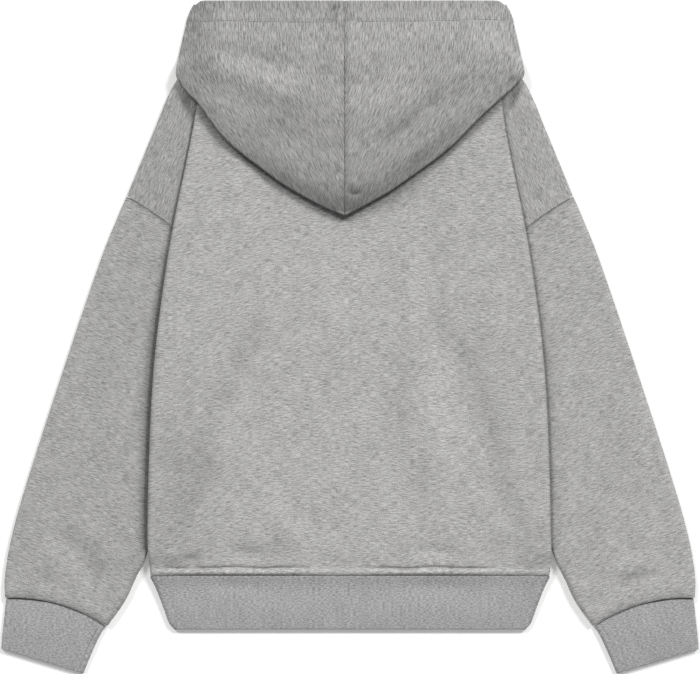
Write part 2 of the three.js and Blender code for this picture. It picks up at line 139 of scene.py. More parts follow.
@dataclass(frozen=True)
class Line:
    """A line in plan read by a soft curve through its rows of (down, half)."""

    rows: tuple[tuple[float, float], ...]

    def at(self, down: Array) -> Array:
        """Distance from the middle line at each place.

        Between two rows the value is a cubic whose slope at a row is that of the chord between the
        rows beside it. Past the ends it stays constant.

        Args:
            down: Distances below the hood's top edge.

        Returns:
            The line's distance from the middle line there.
        """
        keys, values = np.array(self.rows, float).T
        last = len(keys) - 1
        before = np.maximum(np.arange(last + 1) - 1, 0)
        after = np.minimum(np.arange(last + 1) + 1, last)
        slope = (values[after] - values[before]) / (keys[after] - keys[before])
        i = np.clip(np.searchsorted(keys, down, side="right") - 1, 0, last - 1)
        span = keys[i + 1] - keys[i]
        t = np.clip((down - keys[i]) / span, 0.0, 1.0)
        bend = t * (1.0 - t) * span
        return lerp(values[i], values[i + 1], smooth(t)) + bend * (
            (1.0 - t) * slope[i] - t * slope[i + 1]
        )


# Lines in plan: the body's folded edge, the inner edge of the layers stacked beside it, the
# arm's outer edge and the sleeve's inner edge
BODY_EDGE = Line(
    (
        (46, 118.6),
        (92, 126.2),
        (131, 133.7),
        (187, 145.1),
        (238, 153.3),
        (295, 160.2),
        (357, 164),
        (443, 165.9),
        (BODY_HEM, 163.8),
    )
)
STACK_EDGE = Line(((46, 110), (246, 86), (300, 110), (400, 144), (450, 156), (BODY_HEM, 157)))
OUTER_EDGE = Line(
    (
        (47.6, 127.9),
        (68.9, 144.7),
        (108.2, 161.5),
        (159.9, 182.9),
        (206.6, 202.1),
        (305, 235.8),
        (403.4, 267.7),
        (442.8, 278.4),
        (472.3, 283.3),
        (489.5, 283.3),
    )
)
INNER_EDGE = Line(((246, 97), (452.6, 166.5), (472.3, 175.1), (492, 184.1), (512.5, 198.6)))


@dataclass(frozen=True)
class Crease:
    """A soft ridge or trough laid along a path of (down, across) places."""

    path: tuple[tuple[float, float], ...]
    height: float
    width: float
    fade: float = 0.35

    def relief(self, down: Array, across: Array) -> Array:
        """Height that the crease adds at each place.

        It is the crease's height times a bell curve of the distance to the path, exp of minus the
        square of distance over width, and it dies out towards both ends of the path.

        Args:
            down: Distances below the hood's top edge.
            across: Signed distances from the middle line.

        Returns:
            Heights in millimetres, below 0 in a trough.
        """
        points = np.array(self.path, float)
        start = points[:-1]
        step = points[1:] - start
        length = np.hypot(step[:, 0], step[:, 1])
        begun = np.concatenate([[0.0], np.cumsum(length)[:-1]])
        offset = np.stack([down, across], -1)[..., None, :] - start
        t = np.clip((offset * step).sum(-1) / length**2, 0.0, 1.0)
        gap = np.linalg.norm(offset - t[..., None] * step, axis=-1)
        nearest = gap.argmin(-1)[..., None]
        distance = np.take_along_axis(gap, nearest, -1)[..., 0]
        along = np.take_along_axis(begun + t * length, nearest, -1)[..., 0] / length.sum()
        ends = smooth(along / self.fade) * smooth((1.0 - along) / self.fade)
        return self.height * np.exp(-((distance / self.width) ** 2)) * ends


BACK_CREASES = (
    Crease(((190, 52), (287, 58), (370, 74), (440, 100)), 3.0, 24),
    Crease(((180, 38), (300, 38), (440, 36)), -1.5, 9),
    Crease(((250, 92), (320, 104), (400, 128)), -1.5, 10),
    Crease(((350, -140), (400, -132), (446, -126)), -2.6, 17, 0.45),
    Crease(((330, -108), (400, -102)), 1.8, 15, 0.45),
    Crease(((305, -137), (385, -134)), -1.0, 6),
    Crease(((300, -78), (385, -76)), -1.1, 7),
    Crease(((412, -44), (450, -22)), -1.6, 6),
    Crease(((410, -66), (448, -48)), 1.3, 9),
    Crease(((453, -104), (455, -68)), -2.4, 6, 0.5),
    Crease(((458, -138), (463, -121)), -2.4, 5, 0.5),
    Crease(((450, -150), (460, -140)), 1.2, 6, 0.5),
    Crease(((200, -60), (260, -20), (330, -10)), 1.4, 34, 0.5),
    Crease(((450, 44), (455, 100)), -1.5, 6, 0.5),
    Crease(((415, 118), (452, 128)), 1.4, 9, 0.5),
)
SHOULDER_CREASES = (
    Crease(((120, -140), (168, -158)), 0.8, 7),
    Crease(((154, 150), (163, 154), (173, 160)), -3.2, 3.6, 0.5),
    Crease(((160, 162), (186, 168)), 1.4, 6, 0.5),
    Crease(((72, 136), (96, 126)), -2.4, 4, 0.4),
    Crease(((80, 143), (104, 133)), 1.4, 5, 0.4),
    Crease(((76, -134), (92, -126)), -2.2, 4, 0.45),
    Crease(((100, 146), (150, 158)), 0.6, 8),
)
SLEEVE_CREASES = (
    Crease(((430, -236), (458, -222), (486, -199)), -3.4, 9, 0.4),
    Crease(((428, -212), (466, -192)), 1.6, 9),
    Crease(((446, -250), (474, -232), (488, -216)), 1.3, 8, 0.45),
    Crease(((425, -246), (452, -238)), -1.1, 8, 0.45),
    Crease(((470, -262), (482, -240)), -0.7, 5, 0.45),
    Crease(((300, -206), (400, -236)), 0.8, 16, 0.45),
    Crease(((482, 214), (474, 236), (469, 262)), -1.8, 3.2, 0.4),
    Crease(((472, 206), (464, 232), (460, 258)), 1.4, 7, 0.4),
    Crease(((440, 246), (462, 226)), -0.8, 8, 0.45),
    Crease(((300, 208), (410, 244)), 0.7, 16, 0.45),
    Crease(((205, 186), (250, 196)), 0.7, 12, 0.45),
)
HOOD_CREASES = (
    Crease(((36, -124), (48, -84), (62, -36)), -2.2, 8),
    Crease(((48, -122), (70, -74), (88, -18)), 2.6, 13),
    Crease(((0, -120), (50, -127), (86, -118)), -2.2, 12, 0.2),
    Crease(((66, 90), (96, 58), (134, 18)), -3.0, 9),
    Crease(((86, 98), (114, 66), (142, 30)), 1.6, 8),
    Crease(((60, 46), (92, 22), (118, 6)), 2.0, 16, 0.45),
    Crease(((157.5, -4), (160, 3), (157.5, 13)), -1.3, 2.0, 0.5),
    Crease(((152, -3), (151, 10)), 1.3, 4, 0.5),
    Crease(((141, -14), (144, -6)), -1.4, 4, 0.45),
    Crease(((2, -13.5), (28, -13)), -3.2, 3.0, 0.3),
    Crease(((24, -9), (52, -7)), -1.4, 5, 0.45),
    Crease(((96, -70), (126, -34)), -1.3, 11, 0.45),
    Crease(((20, 60), (50, 100)), 1.0, 20, 0.45),
)


@dataclass(frozen=True)
class PaintedShadePatch:
    """A soft patch of painted shade, or of painted light where its change is above nothing."""

    down: float
    across: float
    reach: tuple[float, float]
    change: float
    lean: float = 0.0

    def relief(self, down: Array, across: Array) -> Array:
        """Change of brightness: a bell curve of the distance over the patch's two reaches.

        Args:
            down: Distances below the hood's top edge.
            across: Signed distances from the middle line.

        Returns:
            Changes of brightness.
        """
        turn = np.radians(self.lean)
        along = (down - self.down) * np.cos(turn) + (across - self.across) * np.sin(turn)
        aside = (across - self.across) * np.cos(turn) - (down - self.down) * np.sin(turn)
        return self.change * np.exp(-((along / self.reach[0]) ** 2) - (aside / self.reach[1]) ** 2)


# How bright each part's cloth is drawn, with the back at 1: partly the lie of its nap, and
# partly painted shade that makes the left side darker, as the key light comes from the right
SHOULDER_NAP_AND_SHADE = {Side.LEFT: 0.82, Side.RIGHT: 0.88}
SLEEVE_NAP_AND_SHADE = {Side.LEFT: 0.88, Side.RIGHT: 0.94}
HOOD_NAP_AND_SHADE = {Side.LEFT: 0.765, Side.RIGHT: 0.81}
# Soft patches of painted shade and painted light on the back and the hood, standing in for the
# shading of slopes and creases and for shadows under the hood's edge
BACK_PAINTED_SHADE = (
    PaintedShadePatch(404, -138, (70, 30), -0.16),
    PaintedShadePatch(452, -60, (9, 34), -0.07, 4),
    PaintedShadePatch(296, 118, (70, 14), -0.04, 20),
    PaintedShadePatch(380, -107, (26, 16), 0.05),
    PaintedShadePatch(330, 72, (70, 14), 0.08, 6),
    PaintedShadePatch(250, 0, (60, 60), 0.02),
    PaintedShadePatch(330, 34, (110, 8), -0.04, 2),
    PaintedShadePatch(163, 38, (28, 6), -0.26, -58),
    PaintedShadePatch(152, -56, (34, 5), -0.12, 56),
)
HOOD_PAINTED_SHADE = (
    PaintedShadePatch(40, -126, (70, 16), -0.14, -4),
    PaintedShadePatch(58, -62, (14, 44), 0.07, -18),
    PaintedShadePatch(166, 4, (22, 22), -0.15),
    PaintedShadePatch(108, 58, (12, 46), -0.12, 42),
    PaintedShadePatch(78, 128, (22, 14), -0.10),
    PaintedShadePatch(88, 34, (18, 20), 0.06, 30),
)


def relief_of(marks: tuple[Crease | PaintedShadePatch, ...], down: Array, across: Array) -> Array:
    """The summed relief of several creases or patches at each place."""
    return sum((mark.relief(down, across) for mark in marks), np.zeros_like(down))


# The hood's folded edge from beside the shoulder to the tip, as rows of (down, half)
HOOD_LOWER = {
    Side.LEFT: (
        (74, 136),
        (84.5, 125.6),
        (97.6, 116),
        (108.5, 107.3),
        (119, 97),
        (129, 84.6),
        (138, 72.2),
        (147.5, 59.6),
        (157, 44.6),
        (165.3, 29.6),
        (171.8, 16.5),
        (176.8, 4.45),
    ),
    Side.RIGHT: (
        (72.5, 133.5),
        (84, 121),
        (95.6, 107.8),
        (107, 96.3),
        (117.8, 85.2),
        (127.8, 73),
        (137, 60.4),
        (146.2, 47.4),
        (155.6, 34),
        (163.4, 20.6),
        (170.4, 8),
        (176.8, -4.15),
    ),
}
# Sine of the hood's lower edge to the middle line, which turns a half distance into a gap
EDGE_SLANT = 0.6

# How far the back's folded edge lies inside its line on each side, and how far it is raised
DRAWN_IN = {Side.LEFT: 0.0, Side.RIGHT: 1.5}
SIDE_LIFT = {Side.LEFT: 3.0, Side.RIGHT: 2.4}
# How far outside that edge the arm starts to rise, and over what distance
ARM_RISE = {Side.LEFT: (1.6, 4.8), Side.RIGHT: (0.0, 7.5)}
# How dark the painted shade on the arm is beside that edge, and how wide
PAINTED_SHADE_BESIDE_BODY = {Side.LEFT: (0.50, 4.8), Side.RIGHT: (0.15, 5.0)}
# Where the arm's edge starts to come out from under the body, above the hem
ARM_OUT = 452.0

# Factors on the heights of the back's and the hood's creases
BACK_CREASING = 1.35
HOOD_CREASING = 1.6


def drawn_in(down: Array, side: Side) -> Array:
    """How far the folded edge is drawn in there: in full between the shoulder and the hem."""
    return DRAWN_IN[side] * smooth((down - 60.0) / 60.0) * smooth((462.0 - down) / 30.0)


def painted_shade_beside_body(down: Array, half: Array, side: Side) -> Array:
    """Brightness factor of the arm, with painted shade along the body's folded edge, which shadows
    it.

    It is 1 less a bell curve of the distance from the edge. From the armhole down the curve is
    deeper and wider, with a flat top 1.8 mm to each side.

    Args:
        down: Distances below the hood's top edge.
        half: Distances from the middle line.
        side: The side of the garment.

    Returns:
        Factors of brightness, 1 away from the painted shade.
    """
    shade_depth, wide = PAINTED_SHADE_BESIDE_BODY[side]
    lower = smooth((down - 150.0) / 130.0)
    reach = half - BODY_EDGE.at(down) + drawn_in(down, side) - 0.8
    reach = np.maximum(np.abs(reach) - 1.8 * lower, 0.0)
    depth = lerp(0.4, 1.0, lower) * shade_depth * smooth((462.0 - down) / 16.0)
    return 1.0 - depth * np.exp(-((reach / lerp(1.4, wide, lower)) ** 2))


def painted_shadow_under_hood(down: Array, half: Array, side: Side) -> Array:
    """Painted shadow on the back: darker in a narrow line just outside the hood's folded edge.

    Args:
        down: Distances below the hood's top edge.
        half: Distances from the middle line.
        side: The side of the garment.

    Returns:
        Changes of brightness, nothing away from the line.
    """
    away = EDGE_SLANT * (half - Line(HOOD_LOWER[side]).at(down))
    ends = smooth((down - 74.0) / 20.0) * smooth((183.0 - down) / 6.0)
    return -0.5 * np.exp(-(((away - 0.6) / 2.4) ** 2)) * ends


def out_of_body(down: Array, half: Array) -> Array:
    """Share from 0 under the body's folded edge to 1 where the arm lies clear of it.

    Args:
        down: Distances below the hood's top edge.
        half: Distances from the middle line.

    Returns:
        The shares.
    """
    clear = smooth((half - BODY_EDGE.at(down) - 0.8) / 10.0)
    below = smooth((down - ARM_OUT) / 40.0)
    return np.maximum(clear, below)


def arm_lower(down: Array, half: Array) -> Array:
    """Height of the arm's under layer, which comes down to the surface beside the body."""
    return lerp(level(2), level(0), out_of_body(down, half))


def arm_upper(down: Array, half: Array, side: Side) -> Array:
    """Height of the arm's upper layer, full outside the body's fold and flat below it.

    Args:
        down: Distances below the hood's top edge.
        half: Distances from the middle line.
        side: The side of the garment, for its creases.

    Returns:
        Heights of the cloth's middle.
    """
    plain = lerp(level(3), ARM_FREE, out_of_body(down, half))
    pressed = arm_lower(down, half) + PITCH
    groove, rise = ARM_RISE[side]
    reach = half - BODY_EDGE.at(down) + drawn_in(down, side)
    reach = reach - groove * smooth((down - 150.0) / 60.0)
    below = smooth((down - ARM_OUT) / 30.0)
    shown = np.maximum(1.0 - np.exp(-np.maximum(reach, 0.0) / rise), below)
    roll = 1.8 * np.exp(-(((reach - 8.0) / 12.0) ** 2))
    roll = roll * (1.0 - below) * smooth((down - 60.0) / 80.0)
    folds = relief_of(SHOULDER_CREASES + SLEEVE_CREASES, down, side.value * half)
    return lerp(pressed, plain + np.maximum(2.8 + roll + folds, 0.4), shown)


def back_plain(down: Array, half: Array) -> Array:
    """Height of the back as the solid has it: low over the front, raised over the pleat.

    Args:
        down: Distances below the hood's top edge.
        half: Distances from the middle line.

    Returns:
        Heights of the cloth's middle.
    """
    rise = smooth((half - STACK_EDGE.at(down) + 30.0) / 30.0)
    settled = 2 * PITCH * smooth((down - LAST_FOLD) / 20.0)
    return lerp(BACK_LOW, level(5) - settled, rise)


def back_full(down: Array, half: Array, side: Side) -> Array:
    """What the back's own fullness and creases add to its height.

    It is a low dome from the shoulders to the hem, a roll with a tuck above it where the cloth
    blouses over the band, a dip at the hem seam, the raised side edges and the creases.

    Args:
        down: Distances below the hood's top edge.
        half: Distances from the middle line.
        side: The side of the garment, for its creases.

    Returns:
        Heights above the plain back, never below nothing.
    """
    across = side.value * half
    fullness = 3.0 * smooth((down - 52.0) / 50.0) * (1.0 - 0.4 * smooth((down - 440.0) / 30.0))
    blouse = smooth((across + 158.0) / 26.0) * smooth((-30.0 - across) / 26.0)
    blouse = blouse + smooth((across - 8.0) / 30.0) * smooth((124.0 - across) / 26.0)
    above = BODY_HEM - down
    wander = 0.5 * np.sin(across / 9.0) + 0.2 * np.sin(across / 5.1 + 1.0)
    roll = 1.8 * (0.45 + blouse) * np.exp(-(((above - 3.0) / 1.9) ** 2))
    tuck = -2.9 * blouse * np.exp(-(((above - 6.0 - wander) / 1.5) ** 2))
    seam = -1.0 * np.exp(-((above / 0.9) ** 2))
    edge = SIDE_LIFT[side] * smooth((half - BODY_EDGE.at(down) + 22.0) / 22.0)
    edge = edge * smooth((down - 110.0) / 80.0) * smooth((BODY_HEM - 8.0 - down) / 50.0)
    folds = BACK_CREASING * relief_of(BACK_CREASES, down, across) * smooth((down - 60.0) / 30.0)
    return np.maximum(fullness + roll + tuck + seam + folds + edge, 0.0)


def top_of_panel(half: Array, neck_drop: float) -> Array:
    """Where a panel's upper edge lies: an elliptic neckline, then the sloping shoulder.

    Args:
        half: Distances from the middle line.
        neck_drop: How far the neckline drops on the middle line.

    Returns:
        Distances below the hood's top edge.
    """
    in_neck = np.minimum(half / NECK_HALF, 1.0)
    neck = neck_drop * np.sqrt(1.0 - in_neck**2)
    return SHOULDER_DOWN + neck + SHOULDER_SLOPE * np.maximum(half - NECK_HALF, 0.0)


def turned(
    centre: Array,
    way: Array,
    middle: Array,
    radius: Array,
    start: int,
    turns: tuple[float, float] = (0.0, 1.0),
    steps: int = 12,
) -> Array:
    """Places round a turned edge of cloth.

    A point lies at the centre plus the way out times radius times the sine of the angle, and at the
    middle's height plus start times radius times its cosine, for angles of pi times the turns.

    Args:
        centre: Plan places where the turn begins, as (2, rows).
        way: Unit ways out of the edge in plan, as (2, rows).
        middle: Heights of the turn's middle, one a row.
        radius: The turn's radius, one a row.
        start: +1 to begin on top, -1 to begin below.
        turns: First and last angle as shares of a half turn.
        steps: Number of steps round the turn.

    Returns:
        Down, half and height as (3, rows, steps + 1).
    """
    angle = np.pi * np.linspace(turns[0], turns[1], steps + 1)
    out = radius[:, None] * np.sin(angle)
    up = start * radius[:, None] * np.cos(angle)
    plan = centre[:, :, None] + way[:, :, None] * out
    return np.concatenate([plan, (middle[:, None] + up)[None]])


def unit(vectors: Array, axis: int = 0) -> Array:
    """The vectors divided by their lengths, taken along one axis."""
    return vectors / np.maximum(np.linalg.norm(vectors, axis=axis, keepdims=True), 1e-9)


@dataclass(frozen=True)
class ArmRow:
    """One or many rows of the body panels' arm part, from the pleat to the outer edge."""

    share: Array
    side: Side
    bow: float = 7.0

    def ends(self) -> tuple[Array, Array, Array]:
        """Start by the pleat, end by the outer turn and the unit way between, each (2, rows).

        Returns:
            The start, the end and the way.
        """
        share = self.share
        start = np.stack([lerp(FOLD_TOP, ARMHOLE_INNER, share), lerp(*PLEAT_HALF, share)])
        start[1] += PITCH / 2 + FLEECE / 2
        outer_down = lerp(SHOULDER_TIP[0], ARMHOLE_OUTER, share)
        outer = np.stack([outer_down, OUTER_EDGE.at(outer_down)])
        way = unit(outer - start)
        radius = (arm_upper(*outer, self.side) - arm_lower(*outer)) / 2
        return start, outer - way * (radius + FLEECE / 2), way

    def at(self, t: Array) -> Array:
        """Plan places at shares t of the rows, as (2, rows, shares).

        The row is straight from start to end and bows towards the neck by a parabola, four times
        the bow times the row's share times t times one less t.

        Args:
            t: Shares of the way along a row.

        Returns:
            Down and half distances of the places.
        """
        start, end, way = self.ends()
        to_neck = np.stack([-way[1], way[0]])[:, :, None]
        sag = 4 * self.bow * self.share[None, :, None] * (t * (1.0 - t))
        return lerp(start[:, :, None], end[:, :, None], t) + to_neck * sag


def edge_rows(count: int, reach: float, fine: int = 4) -> Array:
    """Shares from 0 to 1 with a few close ones at both ends, where the cloth's edge is rounded.

    Args:
        count: Number of even shares between the close ones.
        reach: How far from each end the close ones go.
        fine: Number of close shares at each end.

    Returns:
        The shares in rising order.
    """
    close = reach * (np.arange(fine) / fine) ** 1.6
    return np.concatenate([close, np.linspace(reach, 1.0 - reach, count), 1.0 - close[::-1]])


def along_edges(points: Array, wrap: bool) -> tuple[Array, Array, Array]:
    """Distances of each grid point from the sheet's open edges, along its rows and columns.

    Args:
        points: Places as (rows, columns, 3).
        wrap: True where the columns close into a ring.

    Returns:
        Distance from the first row, from the last row, and from the nearer open side.
    """
    down_steps = np.linalg.norm(np.diff(points, axis=0), axis=-1)
    first = np.concatenate([np.zeros((1, points.shape[1])), np.cumsum(down_steps, 0)])
    last = first[-1] - first
    if wrap:
        return first, last, np.full(first.shape, np.inf)
    side_steps = np.linalg.norm(np.diff(points, axis=1), axis=-1)
    left = np.concatenate([np.zeros((points.shape[0], 1)), np.cumsum(side_steps, 1)], 1)
    return first, last, np.minimum(left, left[:, -1:] - left)


def grid_normals(points: Array, wrap: bool) -> Array:
    """Unit normals of a grid, the cross product of its mean unit steps along columns and rows.

    Args:
        points: Places as (rows, columns, 3).
        wrap: True where the columns close into a ring.

    Returns:
        The normals, as (rows, columns, 3).
    """

    def mean_step(axis: int, ring: bool) -> Array:
        """The mean of the unit steps before and after each point along an axis.

        Args:
            axis: 0 for steps down the rows, 1 for steps along them.
            ring: True where the axis closes into a ring.

        Returns:
            Unit steps, as (rows, columns, 3).
        """
        if ring:
            ahead = unit(np.roll(points, -1, axis) - points, -1)
            return unit(ahead + np.roll(ahead, 1, axis), -1)
        step = unit(np.diff(points, axis=axis), -1)
        pad = [(0, 0)] * 3
        pad[axis] = (1, 0)
        before = np.pad(step, pad, mode="edge")
        pad[axis] = (0, 1)
        return unit(before + np.pad(step, pad, mode="edge"), -1)

    return unit(np.cross(mean_step(1, wrap), mean_step(0, False)), -1)


@dataclass
class Cloth:
    """A sheet of cloth as a grid of places, made into a closed wall with rounded edges."""

    down: Array
    half: Array
    height: Array
    grain: Array
    side: int = 1
    thickness: float = FLEECE
    extra: Array | None = None
    wrap: bool = False
    nap_and_shade: Array | float = 1.0

    def points(self) -> Array:
        """The grid's places in millimetres in the part's frame, as (rows, columns, 3)."""
        return np.stack([self.side * self.half, LENGTH / 2 - self.down, self.height], -1)

    def half_thickness(self) -> Array:
        """Half the wall's thickness, falling to nothing on a rounded corner at each open edge.

        The corner is that of a superellipse: the cube root of 1 less the cube of what is left of
        the way to full thickness.

        Returns:
            Half thicknesses in millimetres, as (rows, columns).
        """
        full = np.full(self.down.shape, self.thickness / 2)
        if self.extra is not None:
            full = full + self.extra
        nearest = np.minimum.reduce(along_edges(self.points(), self.wrap))
        share = np.clip(nearest / full, 0.0, 1.0)
        return full * np.cbrt(np.maximum(1.0 - (1.0 - share) ** 3, 0.0))

    def build(self, name: str, material: bpy.types.Material) -> Piece:
        """Makes the wall's mesh: outer and inner grids that share the points of open edges.

        Args:
            name: The piece's name.
            material: Its finish.

        Returns:
            The new object, at the origin.
        """
        middle = self.points()
        shift = grid_normals(middle, self.wrap) * self.half_thickness()[..., None]
        rows, columns = self.down.shape
        outer = np.arange(rows * columns).reshape(rows, columns)
        inner = outer + rows * columns
        inner[[0, -1]] = outer[[0, -1]]
        if not self.wrap:
            inner[:, [0, -1]] = outer[:, [0, -1]]
        places = np.concatenate([(middle + shift).reshape(-1, 3), (middle - shift).reshape(-1, 3)])
        quads = np.concatenate([self._quads(outer), self._quads(inner)[:, ::-1]])
        grain = np.concatenate([self.grain.reshape(-1, 2)] * 2)
        nap_and_shade = np.broadcast_to(self.nap_and_shade, self.down.shape).ravel()
        return make_piece(name, places * MM, quads, grain, material, np.concatenate([nap_and_shade, nap_and_shade]))

    def _quads(self, index: Array) -> Array:
        """Four-sided faces of a grid of point numbers, closed round if the sheet is a ring.

        Args:
            index: Point numbers, as (rows, columns).

        Returns:
            Point numbers of the faces, as (faces, 4).
        """
        if self.wrap:
            index = np.concatenate([index, index[:, :1]], 1)
        corners = [index[:-1, :-1], index[:-1, 1:], index[1:, 1:], index[1:, :-1]]
        return np.stack(corners, -1).reshape(-1, 4)


def make_piece(
    name: str,
    places: Array,
    quads: Array,
    grain: Array,
    material: bpy.types.Material,
    nap_and_shade: Array | None = None,
) -> Piece:
    """Makes an object of a closed mesh whose faces look outwards.

    The faces are turned round if the volume they enclose, the sum over their triangles of a third
    of each one's triple product, comes out below nothing.

    Args:
        name: The piece's name.
        places: Points in metres, as (points, 3).
        quads: Point numbers of the faces, as (faces, 4).
        grain: The cloth's own coordinates at the points, in metres, as (points, 2).
        material: Its finish.
        nap_and_shade: Brightness factors at the points, for the nap and painted shade and light, 1
            if not given.

    Returns:
        The new object, at the origin and linked to the scene.
    """
    used, quads = np.unique(quads, return_inverse=True)
    quads = quads.reshape(-1, 4)
    places, grain = places[used], grain[used]
    a, b, c, d = (places[quads[:, i]] for i in range(4))
    volume = (a * np.cross(b, c)).sum() + (a * np.cross(c, d)).sum()
    if volume < 0:
        quads = quads[:, ::-1]
    mesh = bpy.data.meshes.new(name)
    mesh.from_pydata(places.tolist(), [], quads.tolist())
    layer = mesh.uv_layers.new(name="grain")
    layer.data.foreach_set("uv", grain[quads.ravel()].astype(np.float32).ravel())
    # The point factor holds the nap's brightness together with painted shade and painted light
    nap_and_shade_attr = mesh.attributes.new("nap_and_shade", "FLOAT", "POINT")
    shine = np.ones(len(places)) if nap_and_shade is None else nap_and_shade[used]
    nap_and_shade_attr.data.foreach_set("value", shine.astype(np.float32))
    mesh.polygons.foreach_set("use_smooth", np.ones(len(quads), bool))
    mesh.materials.append(material)
    mesh.validate()
    mesh.update()
    piece = bpy.data.objects.new(name, mesh)
    bpy.context.scene.collection.objects.link(piece)
    return piece


class Nodes:
    """A material's node tree, with short ways to add and join its nodes."""

    def __init__(self, name: str) -> None:
        """Makes an empty material with its output and surface shader.

        Args:
            name: The material's name.
        """
        self.material = bpy.data.materials.new(name)
        self.material.use_nodes = True
        self.tree = self.material.node_tree
        self.shader = self.tree.nodes["Principled BSDF"]

    def add(self, kind: str, **settings: object) -> bpy.types.Node:
        """Adds a node and sets its properties, or its inputs where the name is an input's.

        Args:
            kind: The node's type in Blender.
            **settings: Values of its properties or inputs.

        Returns:
            The new node.
        """
        node = self.tree.nodes.new(kind)
        for key, value in settings.items():
            if hasattr(node, key):
                setattr(node, key, value)
            else:
                node.inputs[key].default_value = value
        return node

    def join(self, source: Socket, target: Socket) -> None:
        """Links an output to an input."""
        self.tree.links.new(source, target)

    def grain_noise(
        self,
        along: float,
        across: float,
        detail: float,
        roughness: float = 0.55,
        shift: float = 0.0,
    ) -> Socket:
        """Noise in the cloth's own coordinates, longer along the grain than across it.

        Args:
            along: Size of a mark along the grain, in metres.
            across: Size of a mark across the grain, in metres.
            detail: How many finer octaves it has.
            roughness: How strong the finer octaves are.
            shift: Where the pattern starts, to set it apart from others.

        Returns:
            The noise's value.
        """
        coordinate = self.add("ShaderNodeTexCoord")
        mapping = self.add("ShaderNodeMapping")
        mapping.inputs["Scale"].default_value = (1.0 / along, 1.0 / across, 1.0)
        mapping.inputs["Location"].default_value = (shift, shift, 0.0)
        self.join(coordinate.outputs["UV"], mapping.inputs["Vector"])
        noise = self.add("ShaderNodeTexNoise", noise_dimensions="2D", Scale=1.0)
        noise.inputs["Detail"].default_value = detail
        noise.inputs["Roughness"].default_value = roughness
        self.join(mapping.outputs["Vector"], noise.inputs["Vector"])
        return noise.outputs["Fac"]

    def math(self, operation: str, first: Socket | float, second: Socket | float) -> Socket:
        """A sum, difference or product of two values, each a number or an output.

        Args:
            operation: The operation's name in Blender.
            first: The first value.
            second: The second value.

        Returns:
            The result's output.
        """
        node = self.add("ShaderNodeMath", operation=operation)
        for socket, value in zip(node.inputs, (first, second)):
            if isinstance(value, (int, float)):
                socket.default_value = value
            else:
                self.join(value, socket)
        return node.outputs[0]

    def weighted(self, *parts: tuple[Socket, float]) -> Socket:
        """The sum of several values, each times its weight.

        Args:
            parts: The values' outputs with their weights.

        Returns:
            The sum's output.
        """
        total = self.math("MULTIPLY", *parts[0])
        for part in parts[1:]:
            total = self.math("ADD", total, self.math("MULTIPLY", *part))
        return total

    def colour_by_nap_and_shade(self, colour: Socket) -> None:
        """Gives the surface a colour, times the brightness factor at each point, for the nap and
        painted shade and light.

        Args:
            colour: The colour's output.
        """
        nap_and_shade_attr = self.add("ShaderNodeAttribute", attribute_name="nap_and_shade")
        shade = self.add("ShaderNodeVectorMath", operation="SCALE")
        self.join(colour, shade.inputs[0])
        self.join(nap_and_shade_attr.outputs["Fac"], shade.inputs["Scale"])
        self.join(shade.outputs["Vector"], self.shader.inputs["Base Color"])

    def raise_by(self, relief: Socket, strength: float, depth: float) -> None:
        """Bumps the surface by a relief.

        Args:
            relief: The relief's output, from 0 to 1.
            strength: How much of the bump shows.
            depth: Height of the whole relief, in metres.
        """
        bump = self.add("ShaderNodeBump", Strength=strength, Distance=depth)
        self.join(relief, bump.inputs["Height"])
        self.join(bump.outputs["Normal"], self.shader.inputs["Normal"])

    def ramp(self, value: Socket, stops: tuple[tuple[float, tuple], ...]) -> Socket:
        """A colour ramp over a value.

        Args:
            value: What is coloured.
            stops: Places on the ramp with their linear colours.

        Returns:
            The colour's output.
        """
        node = self.add("ShaderNodeValToRGB")
        elements = node.color_ramp.elements
        while len(elements) < len(stops):
            elements.new(0.5)
        for element, (place, colour) in zip(elements, stops):
            element.position = place
            element.color = (*colour, 1.0)
        self.join(value, node.inputs["Fac"])
        return node.outputs["Color"]


def tint(value: float, warmth: float = 0.0) -> tuple[float, float, float]:
    """A grey of that linear value, a little warmer above 0 and cooler below."""
    return (value * (1.0 + warmth), value, value * (1.0 - warmth))


